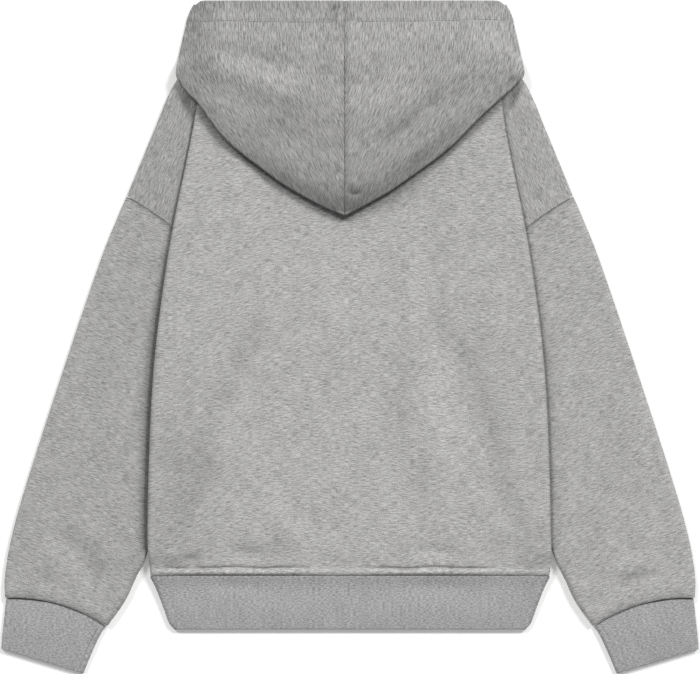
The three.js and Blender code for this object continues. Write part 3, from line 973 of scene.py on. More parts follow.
@dataclass(frozen=True)
class FleeceFinish:
    """Marled fleece: pale and charcoal fibres in fine streaks along the knit, with a soft nap."""

    name: str = "marled_fleece"
    pale: float = 0.56
    mean: float = 0.394
    dark: float = 0.225
    warmth: float = 0.006
    streak: tuple[float, float] = (0.0080, 0.0008)
    spread: float = 0.133
    shares: tuple[float, float, float] = (0.34, 0.36, 0.30)
    cloud: float = 0.06
    depth: float = 0.00022

    def build(self) -> bpy.types.Material:
        """Builds the fleece: colour times the point factor of nap and painted shade, bump and a
        little sheen.

        The colour is a ramp over the weighted sum of long streaks, finer streaks, specks and a soft
        cloud. The bump is the knit with a part of the long streaks.

        Returns:
            The material.
        """
        nodes = Nodes(self.name)
        long, wide = self.streak
        coarse = nodes.grain_noise(long, wide, 1.0, 0.5)
        fine = nodes.grain_noise(long * 0.45, wide * 0.6, 1.0, 0.5, shift=7.3)
        speck = nodes.grain_noise(wide * 1.1, wide * 0.8, 1.0, 0.5, shift=3.1)
        cloud = nodes.grain_noise(0.024, 0.013, 0.5, 0.5, shift=21.0)
        streaks = zip((coarse, fine, speck), self.shares)
        mixed = nodes.weighted(*streaks, (cloud, self.cloud))
        mixed = nodes.math("SUBTRACT", mixed, self.cloud / 2)
        near = 0.4 * self.spread
        colour = nodes.ramp(
            mixed,
            (
                (0.5 - self.spread, tint(self.dark, self.warmth)),
                (0.5 - near, tint(lerp(self.dark, self.mean, 0.62), self.warmth)),
                (0.50, tint(self.mean, self.warmth)),
                (0.5 + near, tint(lerp(self.mean, self.pale, 0.38), self.warmth)),
                (0.5 + self.spread, tint(self.pale, self.warmth)),
            ),
        )
        nodes.colour_by_nap_and_shade(colour)
        knit = nodes.grain_noise(0.0016, 0.0006, 2.0, 0.6, shift=11.0)
        nodes.raise_by(nodes.weighted((knit, 0.6), (coarse, 0.4)), 0.8, self.depth)
        nodes.shader.inputs["Roughness"].default_value = 0.95
        nodes.shader.inputs["Specular IOR Level"].default_value = 0.15
        nodes.shader.inputs["Sheen Weight"].default_value = 0.12
        nodes.shader.inputs["Sheen Roughness"].default_value = 0.6
        return nodes.material


@dataclass(frozen=True)
class RibFinish:
    """Marled rib: fine ribs along the cuff's or band's height, mottled more than streaked."""

    name: str = "marled_rib"
    pale: float = 0.445
    mean: float = 0.336
    dark: float = 0.225
    warmth: float = -0.006
    pitch: float = 0.0011
    depth: float = 0.0003

    def build(self) -> bpy.types.Material:
        """Builds the rib: colour times the point factor of nap and painted shade, bump and a little
        sheen.

        The colour is a ramp over a weighted sum of flecks, a cloud and the rib wave, which is half
        the sine of 2 pi times the distance across the ribs over their pitch, plus a half.

        Returns:
            The material.
        """
        nodes = Nodes(self.name)
        fleck = nodes.grain_noise(0.0008, 0.0024, 2.0, 0.6, shift=5.0)
        cloud = nodes.grain_noise(0.02, 0.015, 3.0, 0.55, shift=1.7)
        coordinate = nodes.add("ShaderNodeTexCoord")
        split = nodes.add("ShaderNodeSeparateXYZ")
        nodes.join(coordinate.outputs["UV"], split.inputs[0])
        turn = nodes.math("MULTIPLY", split.outputs["Y"], 2.0 * np.pi / self.pitch)
        wave = nodes.add("ShaderNodeMath", operation="SINE")
        nodes.join(turn, wave.inputs[0])
        ribs = nodes.math("ADD", nodes.math("MULTIPLY", wave.outputs[0], 0.5), 0.5)
        mixed = nodes.weighted((fleck, 0.85), (cloud, 0.11), (ribs, 0.02))
        colour = nodes.ramp(
            mixed,
            (
                (0.34, tint(self.dark, self.warmth)),
                (0.50, tint(self.mean, self.warmth)),
                (0.66, tint(self.pale, self.warmth)),
            ),
        )
        nodes.colour_by_nap_and_shade(colour)
        nodes.raise_by(nodes.weighted((ribs, 0.2), (fleck, 0.6)), 0.7, self.depth)
        nodes.shader.inputs["Roughness"].default_value = 0.9
        nodes.shader.inputs["Specular IOR Level"].default_value = 0.2
        nodes.shader.inputs["Sheen Weight"].default_value = 0.08
        nodes.shader.inputs["Sheen Roughness"].default_value = 0.5
        return nodes.material


@dataclass(frozen=True)
class ThreadFinish:
    """Grey sewing thread with the turns of its twist."""

    name: str = "grey_thread"
    pale: float = 0.22
    dark: float = 0.10

    def build(self) -> bpy.types.Material:
        """Colour from short marks across the thread, and a faint gloss.

        Returns:
            The material.
        """
        nodes = Nodes(self.name)
        twist = nodes.grain_noise(0.0003, 0.0012, 1.0)
        colour = nodes.ramp(twist, ((0.35, tint(self.dark)), (0.65, tint(self.pale))))
        nodes.join(colour, nodes.shader.inputs["Base Color"])
        nodes.shader.inputs["Roughness"].default_value = 0.6
        nodes.shader.inputs["Sheen Weight"].default_value = 0.1
        return nodes.material


@dataclass(frozen=True)
class FloorFinish:
    """Matt white paper under the garment, on a softly lit table."""

    name: str = "white_paper"
    bright: float = 0.93
    glow: float = 0.18

    def build(self) -> bpy.types.Material:
        """A near-white with a faint tooth.

        Returns:
            The material.
        """
        nodes = Nodes(self.name)
        coordinate = nodes.add("ShaderNodeTexCoord")
        noise = nodes.add("ShaderNodeTexNoise", Scale=900.0)
        nodes.join(coordinate.outputs["Object"], noise.inputs["Vector"])
        stops = ((0.0, tint(self.bright * 0.99)), (1.0, tint(self.bright)))
        nodes.join(nodes.ramp(noise.outputs["Fac"], stops), nodes.shader.inputs["Base Color"])
        nodes.shader.inputs["Roughness"].default_value = 0.9
        nodes.shader.inputs["Specular IOR Level"].default_value = 0.1
        nodes.shader.inputs["Emission Color"].default_value = (1.0, 1.0, 1.0, 1.0)
        nodes.shader.inputs["Emission Strength"].default_value = self.glow
        return nodes.material


@dataclass(frozen=True)
class Finishes:
    """The four finishes of the garment, made once."""

    fleece: bpy.types.Material
    hood: bpy.types.Material
    rib: bpy.types.Material
    thread: bpy.types.Material


def dress(
    piece: Piece,
    node: str,
) -> Piece:
    """Puts a cloth piece in its node's place, on the root body, and hides the node's solid.

    Args:
        piece: The finished piece.
        node: The solid that it stands for.

    Returns:
        The same piece.
    """
    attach(piece, "root")
    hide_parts(node)
    LOG.info("%s: %d faces", piece.name, len(piece.data.polygons))
    return piece


@dataclass
class BodyPanel:
    """The back or the front, with its side pleats and the shoulder parts out to the armholes."""

    face: Face
    neck_drop: float
    flat: tuple[float, float]
    area: float
    rests_on: tuple[str, ...]
    rows: int = 104
    hem_rows: int = 36
    neck_columns: int = 44
    ramp_columns: int = 14
    stack_columns: int = 16
    arm_columns: int = 40
    turn_steps: int = 12
    under_columns: int = 14
    pleat_steps: int = 8
    ramp_wide: float = 34.0

    def row_shares(self) -> Array:
        """Shares down the panel, closer together over the last step above the hem.

        Returns:
            The shares in rising order.
        """
        last = (PANEL_STEPS - 1) / PANEL_STEPS
        upper = np.linspace(0.0, last, self.rows)
        lower = np.linspace(last, 1.0, self.hem_rows)[1:]
        close = np.array([0.0004, 0.0011, 0.0022, 0.004])
        return np.unique(np.concatenate([upper, lower, close, 1.0 - close]).round(6))

    def fold_down(self, share: Array) -> Array:
        """How far down a row meets the folded edge: even steps to the last fold, then the hem.

        Args:
            share: Each row's share down the panel.

        Returns:
            Distances below the hood's top edge.
        """
        step = PANEL_STEPS * share
        last = PANEL_STEPS - 1
        above = lerp(FOLD_TOP, LAST_FOLD, np.minimum(step / last, 1.0))
        return above + (BODY_HEM - LAST_FOLD) * np.maximum(step - last, 0.0)

    def main_plain(self, down: Array, half: Array) -> Array:
        """Height of the main part as the solid has it.

        Args:
            down: Distances below the hood's top edge.
            half: Distances from the middle line.

        Returns:
            Heights of the cloth's middle.
        """
        if self.face is Face.FRONT:
            return np.full(down.shape, level(0))
        return back_plain(down, half)

    def main_height(self, down: Array, half: Array, side: Side) -> Array:
        """Height of the main part: the full back, or the front flat on the surface."""
        plain = self.main_plain(down, half)
        return plain if self.face is Face.FRONT else plain + back_full(down, half, side)

    def arm_height(self, down: Array, half: Array, side: Side) -> Array:
        """Height of the shoulder part: the arm's upper layer, or its lower one for the front.

        Args:
            down: Distances below the hood's top edge.
            half: Distances from the middle line.
            side: The side of the garment.

        Returns:
            Heights of the cloth's middle.
        """
        if self.face is Face.FRONT:
            return arm_lower(down, half)
        return arm_upper(down, half, side)

    def halves(self, down: Array, fold: Array) -> Array:
        """Distances of a row's places from the middle line: neck, ramp and stack columns.

        Args:
            down: How far down each row meets the folded edge, as (rows, 1).
            fold: Each row's folded edge from the middle line, as (rows, 1).

        Returns:
            Distances from the middle line, as (rows, columns).
        """
        stack = STACK_EDGE.at(down)
        inner = stack - self.ramp_wide
        neck = np.sin(np.pi / 2 * np.linspace(0.0, 1.0, self.neck_columns))
        ramp = np.linspace(0.0, 1.0, self.ramp_columns)[1:]
        beyond = np.linspace(0.0, 1.0, self.stack_columns)[1:]
        parts = [inner * neck, lerp(inner, stack, ramp), lerp(stack, fold, beyond)]
        return np.concatenate(parts, 1)

    def main_part(self, share: Array, side: Side) -> tuple[Array, Array]:
        """Places of the main part, from the middle line to where the folded edge begins.

        A row starts at the neckline or the shoulder's slope and comes to the hem as the folded
        edge does. The edge's turn is half as high as the part lies over its own under layer.

        Args:
            share: Each row's share down the panel.
            side: Which side it is.

        Returns:
            Down, half and height as (3, rows, columns), and the turn's radius for each row.
        """
        fold_down = self.fold_down(share)
        edge = BODY_EDGE.at(fold_down)
        top = self.main_height(fold_down, edge - 3.0, side)
        under_edge = self.main_plain(fold_down, edge) - self.face.value * PITCH
        radius = np.abs(top - under_edge) / 2
        fold = edge - radius - FLEECE / 2 - drawn_in(fold_down, side)
        halves = self.halves(fold_down[:, None], fold[:, None])
        first_halves = self.halves(np.array([[FOLD_TOP]]), np.array([[fold[0]]]))
        run = (fold_down - FOLD_TOP) / (BODY_HEM - FOLD_TOP)
        down = lerp(top_of_panel(first_halves, self.neck_drop), BODY_HEM, run[:, None])
        return np.stack([down, halves, self.main_height(down, halves, side)]), radius

    def shoulder_part(self, arm: ArmRow) -> Array:
        """Places of the shoulder part, from the pleat out and a quarter turn round its rim.

        Args:
            arm: The rows that it lies along.

        Returns:
            Down, half and height as (3, rows, columns).
        """
        places = arm.at(np.linspace(0.0, 1.0, self.arm_columns)[1:])
        shoulder = np.concatenate([places, self.arm_height(*places, arm.side)[None]])
        end = places[:, :, -1]
        radius = (arm_upper(*end, arm.side) - arm_lower(*end) - SEAM_GAP) / 2
        up = self.face.value
        middle = shoulder[2, :, -1] - up * radius
        rim = turned(end, arm.ends()[2], middle, radius, up, (0.0, 0.5), self.pleat_steps)
        return np.concatenate([shoulder, rim[:, :, 1:]], 2)

    def side_grid(self, side: Side) -> Array:
        """Places of one side, from the middle line out to the rim, as (3, rows, columns).

        A row runs over the main part, round the folded edge, back under it to the pleat, round the
        pleat and out along the shoulder part to its rim.

        Args:
            side: The side of the garment.

        Returns:
            Down, half and height as (3, rows, columns).
        """
        up = self.face.value
        share = self.row_shares()
        main, radius = self.main_part(share, side)
        fold_at = main[:2, :, -1]
        fold_middle = main[2, :, -1] - up * radius
        outward = np.stack([np.zeros_like(share), np.ones_like(share)])
        folded = turned(fold_at, outward, fold_middle, radius, up, steps=self.turn_steps)
        arm = ArmRow(share, side)
        pleat_at = arm.at(np.array([0.0]))[:, :, 0]
        under_pleat = self.arm_height(*pleat_at, side) + up * PITCH
        under = self.under_layer(fold_at, pleat_at, folded[2, :, -1], under_pleat, share)
        middle = under_pleat - up * PITCH / 2
        tight = np.full(share.shape, PITCH / 2)
        pleat = turned(pleat_at, -outward, middle, tight, up, steps=self.pleat_steps)
        return np.concatenate([main, folded[:, :, 1:], under, pleat, self.shoulder_part(arm)], 2)

    def under_layer(
        self, fold: Array, pleat: Array, at_edge: Array, at_pleat: Array, share: Array
    ) -> Array:
        """The layer under the folded edge, which comes to the side seam's height at the hem.

        Args:
            fold: Plan places of the folded edge, as (2, rows).
            pleat: Plan places of the pleat, as (2, rows).
            at_edge: Heights where the layer leaves the fold.
            at_pleat: Heights where it reaches the pleat.
            share: Each row's share down the panel.

        Returns:
            Down, half and height as (3, rows, steps).
        """
        t = np.linspace(0.0, 1.0, self.under_columns + 2)[1:-1]
        plan = lerp(fold[:, :, None], pleat[:, :, None], t)
        height = lerp(at_edge[:, None], at_pleat[:, None], t)
        sewn = level(3) if self.face is Face.BACK else level(2)
        last = PANEL_STEPS - 1
        near_seam = np.clip(PANEL_STEPS * share - last, 0.0, 1.0)[:, None]
        inside = np.clip(3.0 * np.minimum(t, 1.0 - t), 0.0, 1.0)
        height = lerp(height, sewn, near_seam * inside)
        return np.concatenate([plan, height[None]])

    def grain(self, grid: Array, side: Side) -> Array:
        """Grain across the body on the main part, and down the slope on the shoulder part.

        On the main part the streaks drift down by three sine waves, a long and two short ones. On
        the shoulder part they follow its slope, 24 degrees off the middle line.

        Args:
            grid: One side's places, as (3, rows, columns).
            side: Which side it is.

        Returns:
            Coordinates along and across the grain, in metres, as (rows, columns, 2).
        """
        down, half = grid[0], grid[1]
        lean = np.radians(24.0)
        across = side.value * half
        drift = 0.08 * across + 6.0 * np.sin(across / 60.0 + down / 140.0)
        drift = drift + 1.3 * np.sin(across / 9.5 + down / 23.0)
        drift = drift + 0.8 * np.sin(across / 5.2 - down / 15.0 + 2.0)
        body = np.stack([across, down + drift], -1)
        slope = np.stack(
            [
                down * np.cos(lean) + half * np.sin(lean),
                half * np.cos(lean) - down * np.sin(lean) + side.value * SHOULDER_SHIFT,
            ],
            -1,
        )
        return np.where(self.on_shoulder(grid)[..., None], slope, body) * MM

    def main_nap_and_shade(self, grid: Array, side: Side) -> Array:
        """Brightness factor of the main part: even on the front; on the back, painted patches of
        shade and light and a painted shadow under the hood's edge.

        Args:
            grid: One side's places, as (3, rows, columns).
            side: The side of the garment.

        Returns:
            Factors of brightness, as (rows, columns).
        """
        if self.face is Face.FRONT:
            return np.ones(grid.shape[1:])
        painted_patches = relief_of(BACK_PAINTED_SHADE, grid[0], side.value * grid[1])
        return 1.0 + painted_patches + painted_shadow_under_hood(grid[0], grid[1], side)

    def shoulder_nap_and_shade(self, grid: Array, side: Side) -> Array:
        """Brightness factor of the shoulder part: its nap factor, with painted shade along the
        body's folded edge.
        """
        return SHOULDER_NAP_AND_SHADE[side] * painted_shade_beside_body(grid[0], grid[1], side)

    def on_shoulder(self, grid: Array) -> Array:
        """True for the columns from the hidden side seam on, which make the shoulder part.

        Args:
            grid: One side's places, as (3, rows, columns).

        Returns:
            True or false for each place, as (rows, columns).
        """
        main_columns = self.neck_columns + self.ramp_columns + self.stack_columns - 2
        hidden = main_columns + self.turn_steps + self.under_columns // 2 - 1
        return np.broadcast_to(np.arange(grid.shape[2]) >= hidden, grid.shape[1:])

    def build(self, finishes: Finishes) -> Piece:
        """Makes the panel from its two sides, joined on the middle line.

        Args:
            finishes: The garment's finishes.

        Returns:
            The finished piece.
        """
        grids = {side: self.side_grid(side) for side in Side}
        grains = {side: self.grain(grids[side], side) for side in Side}
        left = grids[Side.LEFT][:, :, :0:-1].copy()
        left[1] *= -1.0
        both = np.concatenate([left, grids[Side.RIGHT]], 2)
        grain = np.concatenate([grains[Side.LEFT][:, :0:-1], grains[Side.RIGHT]], 1)
        on_shoulder = self.on_shoulder(grids[Side.RIGHT])
        nap_and_shade_by_side = {
            side: np.where(on_shoulder, self.shoulder_nap_and_shade(grid, side), self.main_nap_and_shade(grid, side))
            for side, grid in grids.items()
        }
        nap_and_shade = np.concatenate([nap_and_shade_by_side[Side.LEFT][:, :0:-1], nap_and_shade_by_side[Side.RIGHT]], 1)
        cloth = Cloth(both[0], both[1], both[2], grain, nap_and_shade=nap_and_shade)
        name = self.face.name.lower()
        piece = cloth.build(f"{name}_cloth", finishes.fleece)
        return dress(piece, f"{name}_panel")


@dataclass
class FlatTube:
    """A tube of cloth laid flat, in rows that each close round two turned edges."""

    side: Side
    thickness: float
    columns: int = 42
    turn_steps: int = 12

    def chord(
        self, inner: Array, outer: Array, inset: tuple[Array, Array], bow: Array
    ) -> tuple[Array, Array, Array]:
        """Start, end and bow of the rows between a tube's two turned edges.

        Args:
            inner: Plan places of the inner edge, as (2, rows).
            outer: Plan places of the outer edge, as (2, rows).
            inset: How far the turns draw in the start and the end of each row.
            bow: How far each row's middle is pushed towards the neck.

        Returns:
            Start and end places, as (2, rows), and the bow as a vector a row.
        """
        way = unit(outer - inner)
        start = inner + way * inset[0]
        end = outer - way * inset[1]
        return start, end, np.stack([-way[1], way[0]]) * bow

    def bowed(self, chord: tuple[Array, Array, Array], t: Array) -> Array:
        """Places of the chord's rows at shares t, as (2, rows, shares).

        Args:
            chord: Start, end and bow of the rows, as chord gives them.
            t: Shares of the way along a row.

        Returns:
            Plan places as (2, rows, shares).
        """
        start, end, bow = chord
        sag = 4.0 * t * (1.0 - t)
        return lerp(start[:, :, None], end[:, :, None], t) + bow[:, :, None] * sag

    def ring(self, places: Array, upper: Array, lower: Array) -> Array:
        """Closes rows of places into rings: over the top, round, back underneath and round.

        Args:
            places: Plan places from the inner to the outer edge, as (2, rows, columns).
            upper: Heights of the upper layer there.
            lower: Heights of the lower layer there.

        Returns:
            Down, half and height as (3, rows, ring points).
        """
        out = unit(places[:, :, -1] - places[:, :, -2])
        back = unit(places[:, :, 0] - places[:, :, 1])
        middle = (upper + lower) / 2
        radius = (upper - lower) / 2
        steps = self.turn_steps
        outer = turned(places[:, :, -1], out, middle[:, -1], radius[:, -1], 1, steps=steps)
        inner = turned(places[:, :, 0], back, middle[:, 0], radius[:, 0], -1, steps=steps)
        top = np.concatenate([places, upper[None]])[:, :, 1:-1]
        bottom = np.concatenate([places, lower[None]])[:, :, -2:0:-1]
        return np.concatenate([top, outer, bottom, inner], 2)


@dataclass
class Sleeve(FlatTube):
    """A sleeve from the armhole seam, under the body's edge, to the cuff seam."""

    thickness: float = FLEECE
    rows: int = 84
    length: float = 236.0
    flat: tuple[float, float] = (0.33, 0.33)
    area: float = 0.071

    def seam(self, t: Array) -> Array:
        """Places just below the armhole seam, as (2, 1, shares).

        Args:
            t: Shares of the way from the pleat to the outer edge.

        Returns:
            Plan places as (2, 1, shares).
        """
        edge = ArmRow(np.array([1.0]), self.side).at(lerp(0.1, 1.0, t))
        clearance = SEAM_GAP + 0.1 + 1.2 * (1.0 - t) ** 3 - 0.2 * t**8
        return edge + np.array([1.0, 0.33])[:, None, None] * clearance

    def heights(self, down: Array, half: Array, share: Array) -> Array:
        """Height of the upper layer, which gathers into a soft roll and dips to the cuff seam.

        To the arm's own height it adds a bell curve for the roll, with small gathers from two sine
        waves, and takes one away for the dip at each seam.

        Args:
            down: Distances below the hood's top edge.
            half: Distances from the middle line.
            share: Shares of the way from the armhole seam to the cuff seam.

        Returns:
            Heights of the cloth's middle.
        """
        taper = smooth((share - 0.85) / 0.15)
        fullness = arm_upper(down, half, self.side) - 0.7 * taper
        from_cuff = self.length * (1.0 - share)
        dip = -1.1 * np.exp(-(from_cuff**2))
        roll = 0.8 * np.exp(-(((from_cuff - 5.5) / 3.5) ** 2))
        gathers = np.sin(half / 1.15 + down / 2.3) * np.sin(half / 3.1 + 1.0)
        roll = roll + 0.32 * gathers * np.exp(-(((from_cuff - 3.4) / 3.4) ** 2))
        top_dip = -0.7 * np.exp(-((self.length * share / 2.2) ** 2))
        return fullness + dip + roll + top_dip * out_of_body(down, half)

    def edge_rows_at(self, share: Array, t: Array) -> Array:
        """Plan places of the rows from the second of the solid's rows down.

        Args:
            share: Shares of the way from the armhole seam to the cuff seam.
            t: Shares of the way from the inner to the outer edge.

        Returns:
            Plan places as (2, rows, shares).
        """
        outer_down = lerp(ARMHOLE_OUTER, CUFF_OUTER, share)
        inner_down = lerp(ARMHOLE_INNER, CUFF_INNER, share)
        inner = np.stack([inner_down, INNER_EDGE.at(inner_down)])
        outer = np.stack([outer_down, OUTER_EDGE.at(outer_down)])
        inset = tuple(
            (self.heights(*place, share) - arm_lower(*place) + FLEECE) / 2
            for place in (inner, outer)
        )
        bowed = self.bowed(self.chord(inner, outer, inset, 6.0 * share), t)
        straight = lerp(self.seam(np.array([0.0])), self.seam(np.array([1.0])), t)
        bend = self.seam(t) - straight
        return bowed + (1.0 - share)[None, :, None] * bend

    def build(self, finishes: Finishes) -> Piece:
        """Makes the sleeve. Its first stretch blends from the armhole seam into even rows.

        Args:
            finishes: The garment's finishes.

        Returns:
            The finished piece.
        """
        share = edge_rows(self.rows, 0.006)
        t = np.linspace(0.0, 1.0, self.columns)
        first = 1.0 / PANEL_STEPS
        places = self.edge_rows_at(np.maximum(share, first), t)
        blend = np.clip(share / first, 0.0, 1.0)[None, :, None]
        places = lerp(self.seam(t), places, blend)
        upper = self.heights(places[0], places[1], share[:, None])
        ring = self.ring(places, upper, arm_lower(places[0], places[1]))
        lean = np.radians(17.0)
        across = ring[1] * np.cos(lean) - ring[0] * np.sin(lean)
        along = ring[0] * np.cos(lean) + ring[1] * np.sin(lean)
        grain = np.stack([across, along + self.side.value * SLEEVE_SHIFT], -1) * MM
        cloth = Cloth(*ring, grain, self.side.value, self.thickness, wrap=True)
        # Painted shade in a narrow band along the armhole seam, where the seam's gap lies in shadow
        sewn = 1.0 - 0.45 * np.exp(-((self.length * share[:, None] / 1.3) ** 2))
        cloth.nap_and_shade = SLEEVE_NAP_AND_SHADE[self.side] * painted_shade_beside_body(ring[0], ring[1], self.side) * sewn
        piece = cloth.build(f"sleeve_cloth_{self.side.word}", finishes.fleece)
        node = f"sleeve_{self.side.word}"
        return dress(piece, node)


# How deep the cuff's own seam is drawn in beside its inner edge
CUFF_SEAM = {Side.LEFT: 1.1, Side.RIGHT: 0.25}


@dataclass
class Cuff(FlatTube):
    """A doubled rib cuff, a little narrower than the sleeve's end and tapering to its opening."""

    thickness: float = RIB
    rows: int = 26
    columns: int = 34
    flat: tuple[float, float] = (0.155, 0.045)
    area: float = 0.0068

    def build(self, finishes: Finishes) -> Piece:
        """Makes the cuff between the edge lines of its four rows, with a soft rise in its middle.

        The upper layer lies higher by a power of the sine of pi times the share from seam to
        opening, which a like power of the share from edge to edge makes fuller in the middle. A low
        wave dies out towards the opening, and the cuff's own seam is a narrow dip.

        Args:
            finishes: The garment's finishes.

        Returns:
            The finished piece.
        """
        outer_line = np.array([(490.2, 282.3), (504, 283.8), (519, 285.5), (532.6, 286.6)])
        inner_line = np.array([(513.2, 200.6), (524, 206.5), (539, 213.2), (LENGTH, 218.9)])
        share = edge_rows(self.rows, 0.03)
        row = share * 3.0
        knots = np.arange(4)
        outer, inner = (
            np.stack([np.interp(row, knots, line[:, i]) for i in range(2)])
            for line in (outer_line, inner_line)
        )
        low = RIB / 2
        rise = 0.5 + 1.3 * np.sin(np.pi * share) ** 0.8
        edge_inset = RIB + (rise - 0.5) / 2 + 0.25
        chord = self.chord(inner, outer, (edge_inset, edge_inset), 6.0 * (1.0 - share))
        by_side_seam = np.linspace(0.0, 0.1, 15)
        t = np.unique(np.concatenate([by_side_seam, np.linspace(0.1, 1.0, self.columns)]))
        places = self.bowed(chord, t)
        crown = np.sin(np.pi * t)[None, :] ** 0.7
        from_inner = np.linalg.norm(places - places[:, :, :1], axis=0)
        wave = 0.25 * np.sin(5.0 * np.pi * t + self.side.value)[None, :] * (1.0 - share[:, None])
        upper = low + RIB + rise[:, None] * (0.8 + 0.35 * crown) + wave
        upper = upper - CUFF_SEAM[self.side] * np.exp(-(((from_inner - 1.6) / 0.8) ** 2))
        upper = np.maximum(upper, low + RIB + 0.1)
        ring = self.ring(places, upper, np.full(upper.shape, low))
        axis = np.radians(16.0)
        along = ring[0] * np.cos(axis) + ring[1] * np.sin(axis)
        across = ring[1] * np.cos(axis) - ring[0] * np.sin(axis)
        grain = np.stack([along, across + self.side.value * CUFF_SHIFT], -1) * MM
        cloth = Cloth(*ring, grain, self.side.value, self.thickness, wrap=True)
        piece = cloth.build(f"cuff_cloth_{self.side.word}", finishes.rib)
        node = f"cuff_{self.side.word}"
        return dress(piece, node)


@dataclass
class HemBand(FlatTube):
    """The doubled rib band round the hem, drawn in towards its lower edge."""

    side: Side = Side.RIGHT
    thickness: float = RIB
    rows: int = 30
    columns: int = 150
    tall: float = 44.0
    corner_wide: float = 45.0
    flat: tuple[float, float] = (0.625, 0.045)
    area: float = 0.028

    def build(self, finishes: Finishes) -> Piece:
        """Makes the band. It is fullest near the seam and a little raised at its upper corners.

        Its height over the lower layer is a power of the sine of pi times the share from seam to
        opening, plus a bell curve of the distance from the seam, the corners' rise and the creases.

        Args:
            finishes: The garment's finishes.

        Returns:
            The finished piece.
        """
        side_line = Line(((0.3, 163.5), (10, 158.7), (28, 152.4), (39, 148.8), (44, 144.6)))
        share = edge_rows(self.rows, 0.03)
        below = lerp(SEAM_GAP, self.tall, share)
        half = side_line.at(below)
        inner = np.stack([BODY_HEM + below, -half])
        outer = np.stack([BODY_HEM + below, half])
        low = RIB / 2
        inset = np.full(share.shape, RIB + 0.9)
        chord = self.chord(inner, outer, (inset, inset), np.zeros_like(share))
        places = self.bowed(chord, np.linspace(0.0, 1.0, self.columns))
        down_from_seam = below[:, None]
        corner = smooth((np.abs(places[1]) - half[:, None] + self.corner_wide) / 40.0)
        raised = 2.0 * corner * smooth(1.0 - down_from_seam / self.tall)
        dips = (
            Crease(((8, -125), (9, -60)), -0.9, 6, 0.4),
            Crease(((8, 30), (9, 105)), -0.8, 6, 0.4),
            Crease(((26, -140), (30, -20)), 0.5, 9, 0.4),
            Crease(((24, 10), (30, 130)), 0.5, 10, 0.4),
        )
        body = 1.4 * np.sin(np.pi * share[:, None]) ** 0.6
        body = body + 0.9 * np.exp(-((down_from_seam / 9.0) ** 2))
        folds = relief_of(dips, np.broadcast_to(down_from_seam, places[1].shape), places[1])
        upper = low + RIB + 0.5 + raised + body + folds
        upper = np.maximum(upper, low + RIB + 0.3)
        ring = self.ring(places, upper, np.full(upper.shape, low))
        grain = np.stack([ring[0], ring[1]], -1) * MM
        cloth = Cloth(*ring, grain, 1, self.thickness, wrap=True)
        # Painted shadow of the body's roll on the band, a bell curve of the distance below the hem
        # seam
        cloth.nap_and_shade = 1.04 - 0.2 * np.exp(-(((ring[0] - BODY_HEM) / 8.0) ** 2))
        piece = cloth.build("hem_band_cloth", finishes.rib)
        return dress(piece, "hem_band")


# The hood's folded edge from the opening down, as rows of (down, half, place on the crown)
HOOD_SIDE = (
    (3.0, 127.9, 0),
    (10.5, 131.7, 8),
    (20.5, 134.8, 17),
    (31, 137.4, 26),
    (42, 139.9, 35),
    (52.5, 141.9, 44),
    (63.1, 142.3, 53),
)
# The two rows that step up over the shoulder line: start, turning place and gateway
NECK_CORNER = (
    ((35, 75.2, 1.2), (33, 76, 1.2), (33, 82, 4.2)),
    ((35.9, 75, 4.9), (36.9, 77, 5.1), (38.2, 81.8, 5.4)),
)


# How many of the hood's rows start on the front neckline and on the back one
FRONT_ROWS = 6
BACK_ROWS = 11
# How wide the doubled hem at the hood's opening is
HOOD_HEM = {Side.LEFT: 19.2, Side.RIGHT: 18.4}
# How the hood comes down past the shoulder line: how far past it the fall ends, and over what
# distance it goes. The under layer keeps close and the upper layer falls freely.
CLOSE_FALL = (14.0, 9.0)
FREE_FALL = (44.0, 50.0)


@dataclass(frozen=True)
class HoodRows:
    """What the hood's rows hold: share of the outline, folded edge, heights and crown end."""

    row: Array
    share: Array
    centre: Array
    way: Array
    loft: Array
    hanging: Array
    low: Array
    crown: Array


